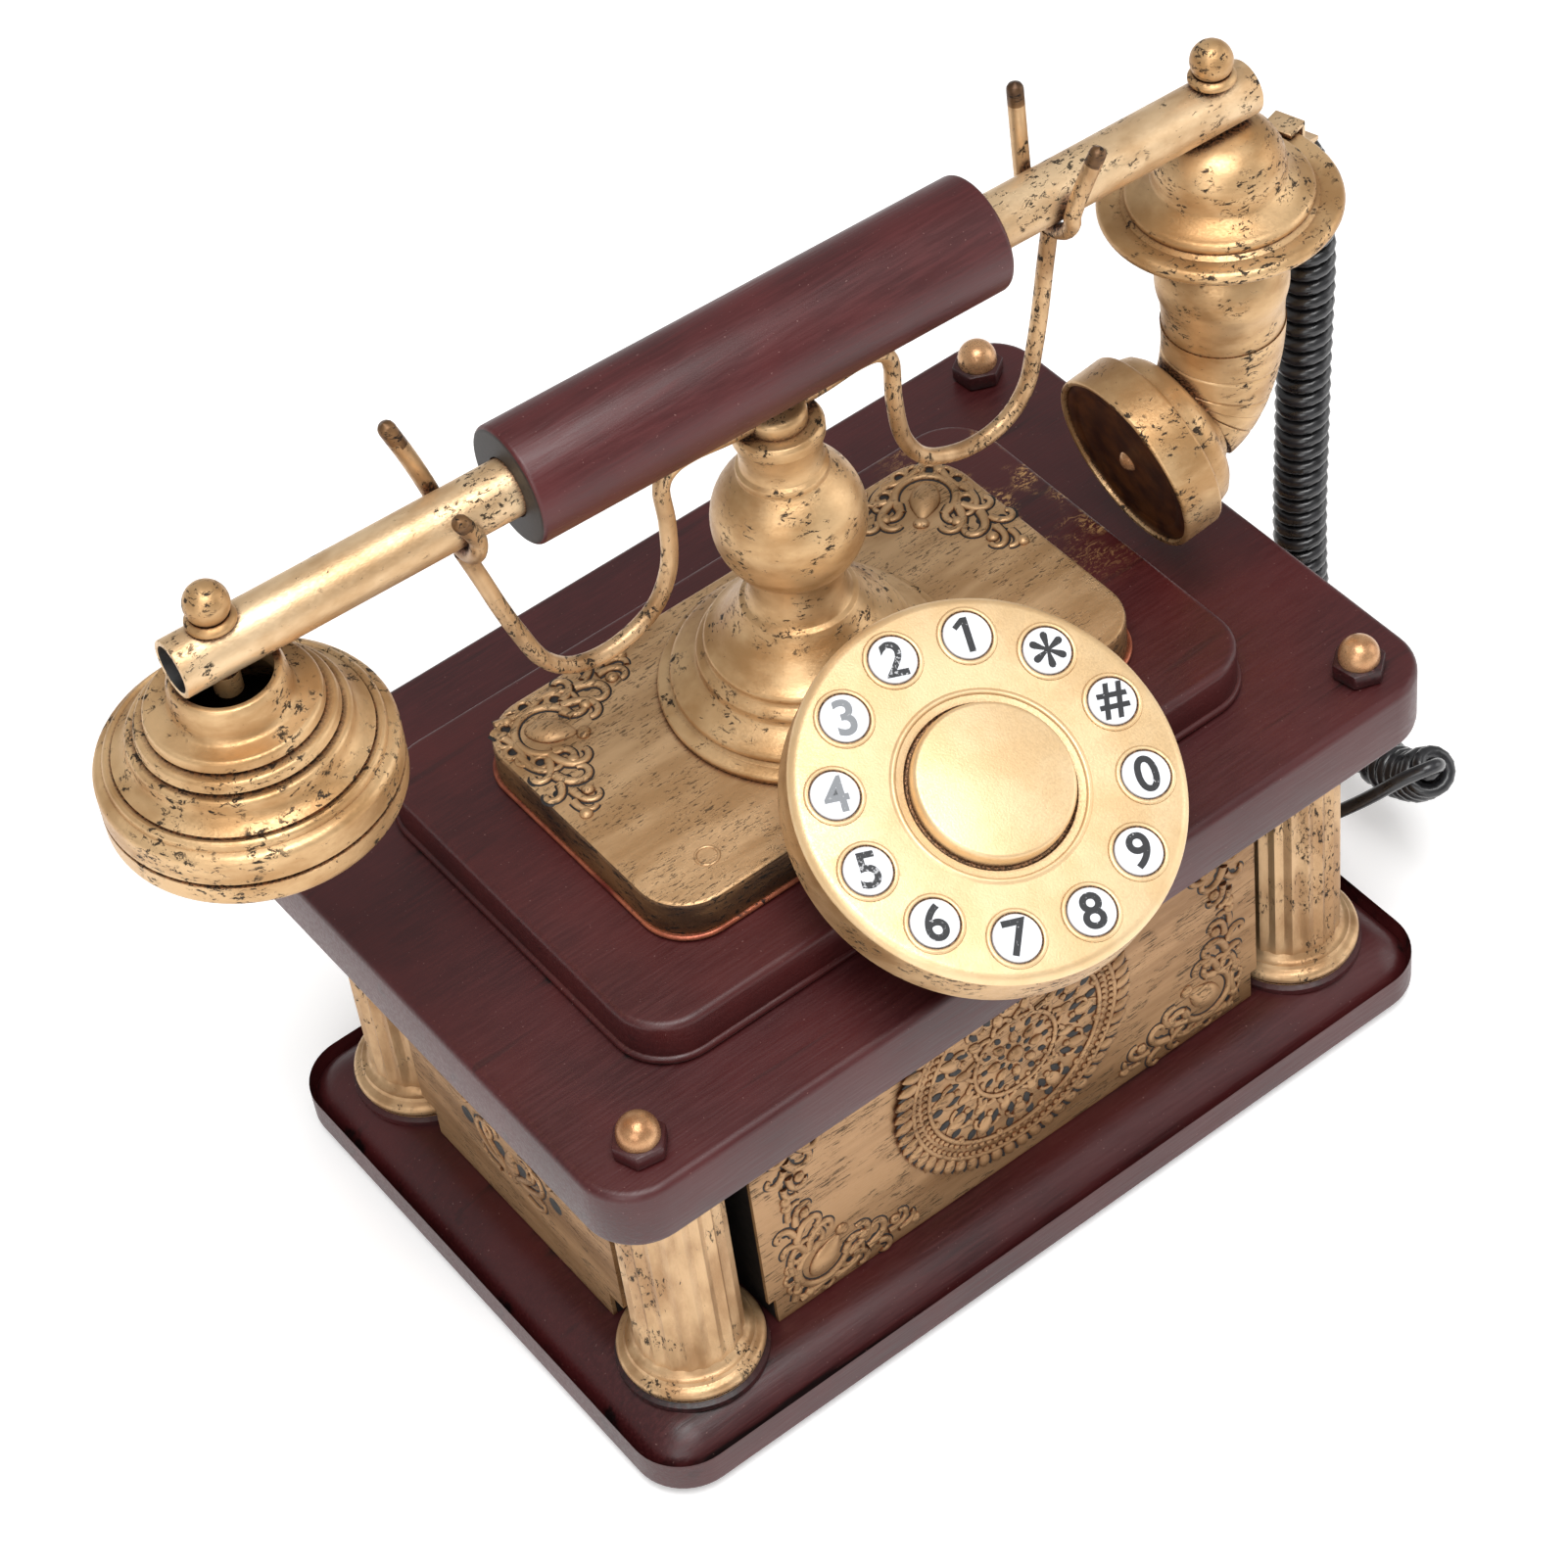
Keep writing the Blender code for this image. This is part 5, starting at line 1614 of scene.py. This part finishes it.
def makeMedallion():
    # a thin ground, the raised lace, and dark ovals where the lace is pierced
    outer = lace["radius"]
    petals = lace["petals"]
    teeth = lace["teeth"]
    lean = math.radians(lace["toothLean"])
    ground = outer - 2.4
    base = turned([(0, 0), (ground, 0), (ground, 0.35), (0, 0.35)], 96, 0.1)
    holes = []
    for length, width, places in (
        (2.6, 1.15, around(teeth, outer - 1.6, lean, 0.5)),
        (2.6, 1.7, around(petals * 2, 16.9, 0, 0.5)),
        (2.8, 1.5, around(petals * 2, 13.3, math.pi, 0.5)),
        (2.4, 1.5, around(petals, 10.3, 0, 0.5)),
        (1.9, 1.2, around(petals, 6.6)),
        (1.5, 1.0, around(8, 3.0, 0, 0.5)),
    ):
        holes.append(repeated(leaf(length, width, 0.16), places))
    pierced = joined(holes)
    parts = []
    for length, width, height, places in (
        (4.2, 2.5, 0.8, around(teeth, outer - 2.0, lean)),
        (5.2, 3.0, 0.8, around(petals, 15.4)),
        (3.8, 2.2, 0.75, around(petals, 11.0, math.pi, 0.5)),
        (3.0, 1.9, 0.9, around(8, 4.6)),
    ):
        parts.append(repeated(leaf(length, width, height), places))
    for radius, height, places in (
        (0.62, 0.8, around(lace["outerBeads"], outer - 4.6)),
        (0.62, 0.8, around(lace["innerBeads"], outer - 6.3, 0, 0.5)),
        (0.8, 0.9, around(petals, 18.0, 0, 0.5)),
        (0.7, 0.9, around(petals, 12.4)),
        (0.55, 0.9, around(20, 7.6)),
    ):
        parts.append(repeated(bead(radius, height, 10, 6), places))
    parts.append(bead(1.7, 0.8, 16, 10))
    lines = [circleLine(reach, 0.5) for reach in (outer - 3.9, outer - 7.2, 8.7)]
    for index in range(petals):
        for side in (1, -1):
            for line in (
                curl(9.2, side * 0.4, side * 40, 6.5, side * 10, side * 62, 0.5, 0.35),
                curl(13.4, side * 2.6, side * 10, 5.2, side * -20, side * -66, 0.45, 0.32),
            ):
                lines.append(turnedLine(line, 2 * math.pi * index / petals))
    parts.append(strokesMesh(lines))
    relief = joined(parts)
    panelLow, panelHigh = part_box("front_medallion")
    centre = (panelLow + panelHigh) / 2
    origin = (centre.x, panelHigh.y, centre.z)
    place = basis(origin, (1, 0, 0), (0, 0, 1), (0, -1, 0))
    for piece, lift, angle in ((relief, 0.35, 60), (base, 0, 40), (pierced, 0.42, 60)):
        settle(piece, place @ Matrix.Translation((0, 0, lift * mm)))
        smooth(piece, angle)
    keep(relief, "medallion_lace", sheetGold, "base", "front_medallion")
    keep(base, "medallion_ground", sheetGold, "base")
    keep(pierced, "medallion_holes", linerBlack, "base")


makeMedallion()
print("medallion made")


# ---- scroll filigree on the side panels
def sideFiligree():
    # one half, mirrored about the vertical middle; the middle is at the origin
    lines = []
    half = [
        curl(0.6, -16.0, 70, 17.0, -14, 40, 0.9, 0.45),
        curl(0.6, -15.0, 20, 19.0, -6, 36, 0.95, 0.45),
        curl(0.8, 15.5, -60, 16.0, 10, -42, 0.9, 0.45),
        curl(0.8, 15.0, -10, 18.0, 6, -38, 0.9, 0.45),
        curl(3.0, 0.0, 60, 9.0, -30, -50, 0.7, 0.4),
        curl(3.0, 0.0, -60, 9.0, 30, 50, 0.7, 0.4),
        curl(8.0, 0.0, 10, 11.0, 12, 44, 0.75, 0.4),
        curl(8.0, 0.0, -10, 11.0, -12, -44, 0.75, 0.4),
        curl(4.0, -17.2, -8, 9.0, -4, 52, 0.7, 0.4),
    ]
    for line in half:
        lines += [line, [(-x, y, z, thick) for x, y, z, thick in line]]
    # painted shadow: a dark band along every stroke
    shadow = outlined(lines, 0.4)
    strokes = strokesMesh(lines)
    leaves = [
        Matrix.Translation((0, -12.5 * mm, 0)) @ Matrix.Rotation(math.radians(90), 4, "Z"),
        Matrix.Translation((0, 12.5 * mm, 0)) @ Matrix.Rotation(math.radians(-90), 4, "Z"),
    ]
    boss = repeated(leaf(8.0, 4.4, 0.9), leaves)
    studs = [(0, 0), (12.5, 6.0), (12.5, -6.0), (6.0, 11.0), (6.0, -10.0), (17.5, 0)]
    studs += [(-x, y) for x, y in studs if x]
    beads = repeated(bead(1.0, 0.8), spots(studs))
    gaps = [(4.6, 6.0), (4.6, -6.0), (9.5, 2.8), (9.5, -2.8), (9.0, 9.0), (9.0, -9.5)]
    gaps += [(14.6, 3.0), (14.6, -3.2), (3.2, 10.4), (3.4, -11.4)]
    gaps += [(13.0, -11.0), (13.0, 10.0)]
    gaps += [(-x, y) for x, y in gaps]
    dark = joined([repeated(holeDisc(1.9), spots(gaps)), shadow])
    return joined([strokes, boss, beads]), dark


def makeFiligree():
    relief, dark = sideFiligree()
    for side, xAxis, zAxis in (
        ("left", (0, -1, 0), (-1, 0, 0)),
        ("right", (0, 1, 0), (1, 0, 0)),
    ):
        low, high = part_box(side + "_panel")
        face = low.x if side == "left" else high.x
        origin = middle(side + "_panel")
        origin.x = face - zAxis[0] * 0.1 * mm
        place = basis(origin, xAxis, (0, 0, 1), zAxis)
        placeOrnament("side_" + side, relief, dark, place, sideGold)
    bpy.data.objects.remove(relief)
    bpy.data.objects.remove(dark)


makeFiligree()
print("filigree made")


# ---- CAD nodes that keep their shape
def paintNodes():
    for paint, nodes in (
        (sheetGold, ("front_panel", "rear_panel")),
        (sideGold, ("left_panel", "right_panel")),
        (linerBlack, ("case_liner",)),
        (bronze, ("dial_bracket",)),
        (plasticBlack, ("dial_back", "key_mat", "receiver_capsule", "cord_gland")),
        (plasticBlack, ("hook_switch", "ringer_coil")),
        (bellBrass, ("ringer_gong",)),
        (springSteel, ("hook_spring",)),
        (boardGreen, ("circuit_board",)),
    ):
        for node in nodes:
            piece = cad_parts[node]
            piece.data.materials.clear()
            piece.data.materials.append(paint)


paintNodes()

# ---- floor and light
studio = {
    "paper": "F4F3F2",
    "paperCloud": "F8F8F8",
    "cloudSize": 300.0,
    "glow": 0.26,
    "floorSize": 40,
    "world": 0.42,
    "aim": (0, 0, 0.08),
}
lights = {
    "overheadLight": {"power": 18.5, "size": 0.9, "place": (-0.2, -0.4, 1.4)},
    "leftLight": {"power": 5.2, "size": 0.8, "place": (-1.0, -0.8, 0.7)},
    "rightLight": {"power": 3.5, "size": 0.8, "place": (1.1, -0.6, 0.5)},
}


def addLight(name, power, size, place):
    bpy.ops.object.light_add(type="AREA")
    light = bpy.context.object
    light.name = name
    light.data.energy = power
    light.data.size = size
    place = Vector(place)
    aim = (Vector(studio["aim"]) - place).to_track_quat("-Z", "Y").to_matrix().to_4x4()
    light.matrix_world = Matrix.Translation(place) @ aim


def makeStudio():
    deselectAll()
    bpy.ops.mesh.primitive_plane_add(size=studio["floorSize"])
    floor = bpy.context.object
    floor.name = "studio_floor"
    # matt white paper that glows a little, so that it stays white to the edges
    paper, shader = newMaterial(
        "paleStudioPaper",
        Roughness=0.7,
        Emission_Color=(1, 1, 1, 1),
        Emission_Strength=studio["glow"],
    )
    cloud = between(paper, grain(paper, studio["cloudSize"]), 0.3, 0.7)
    tone = blendColour(
        paper, cloud, hexLinear(studio["paper"]), hexLinear(studio["paperCloud"])
    )
    plug(paper, tone, shader.inputs["Base Color"])
    floor.data.materials.append(paper)
    world = bpy.data.worlds.new("studioWorld")
    world.use_nodes = True
    background = world.node_tree.nodes["Background"]
    background.inputs["Color"].default_value = (1, 1, 1, 1)
    background.inputs["Strength"].default_value = studio["world"]
    bpy.context.scene.world = world
    for name, light in lights.items():
        addLight(name, **light)
    bpy.context.scene.view_settings.view_transform = "Standard"


makeStudio()
print("studio lit")
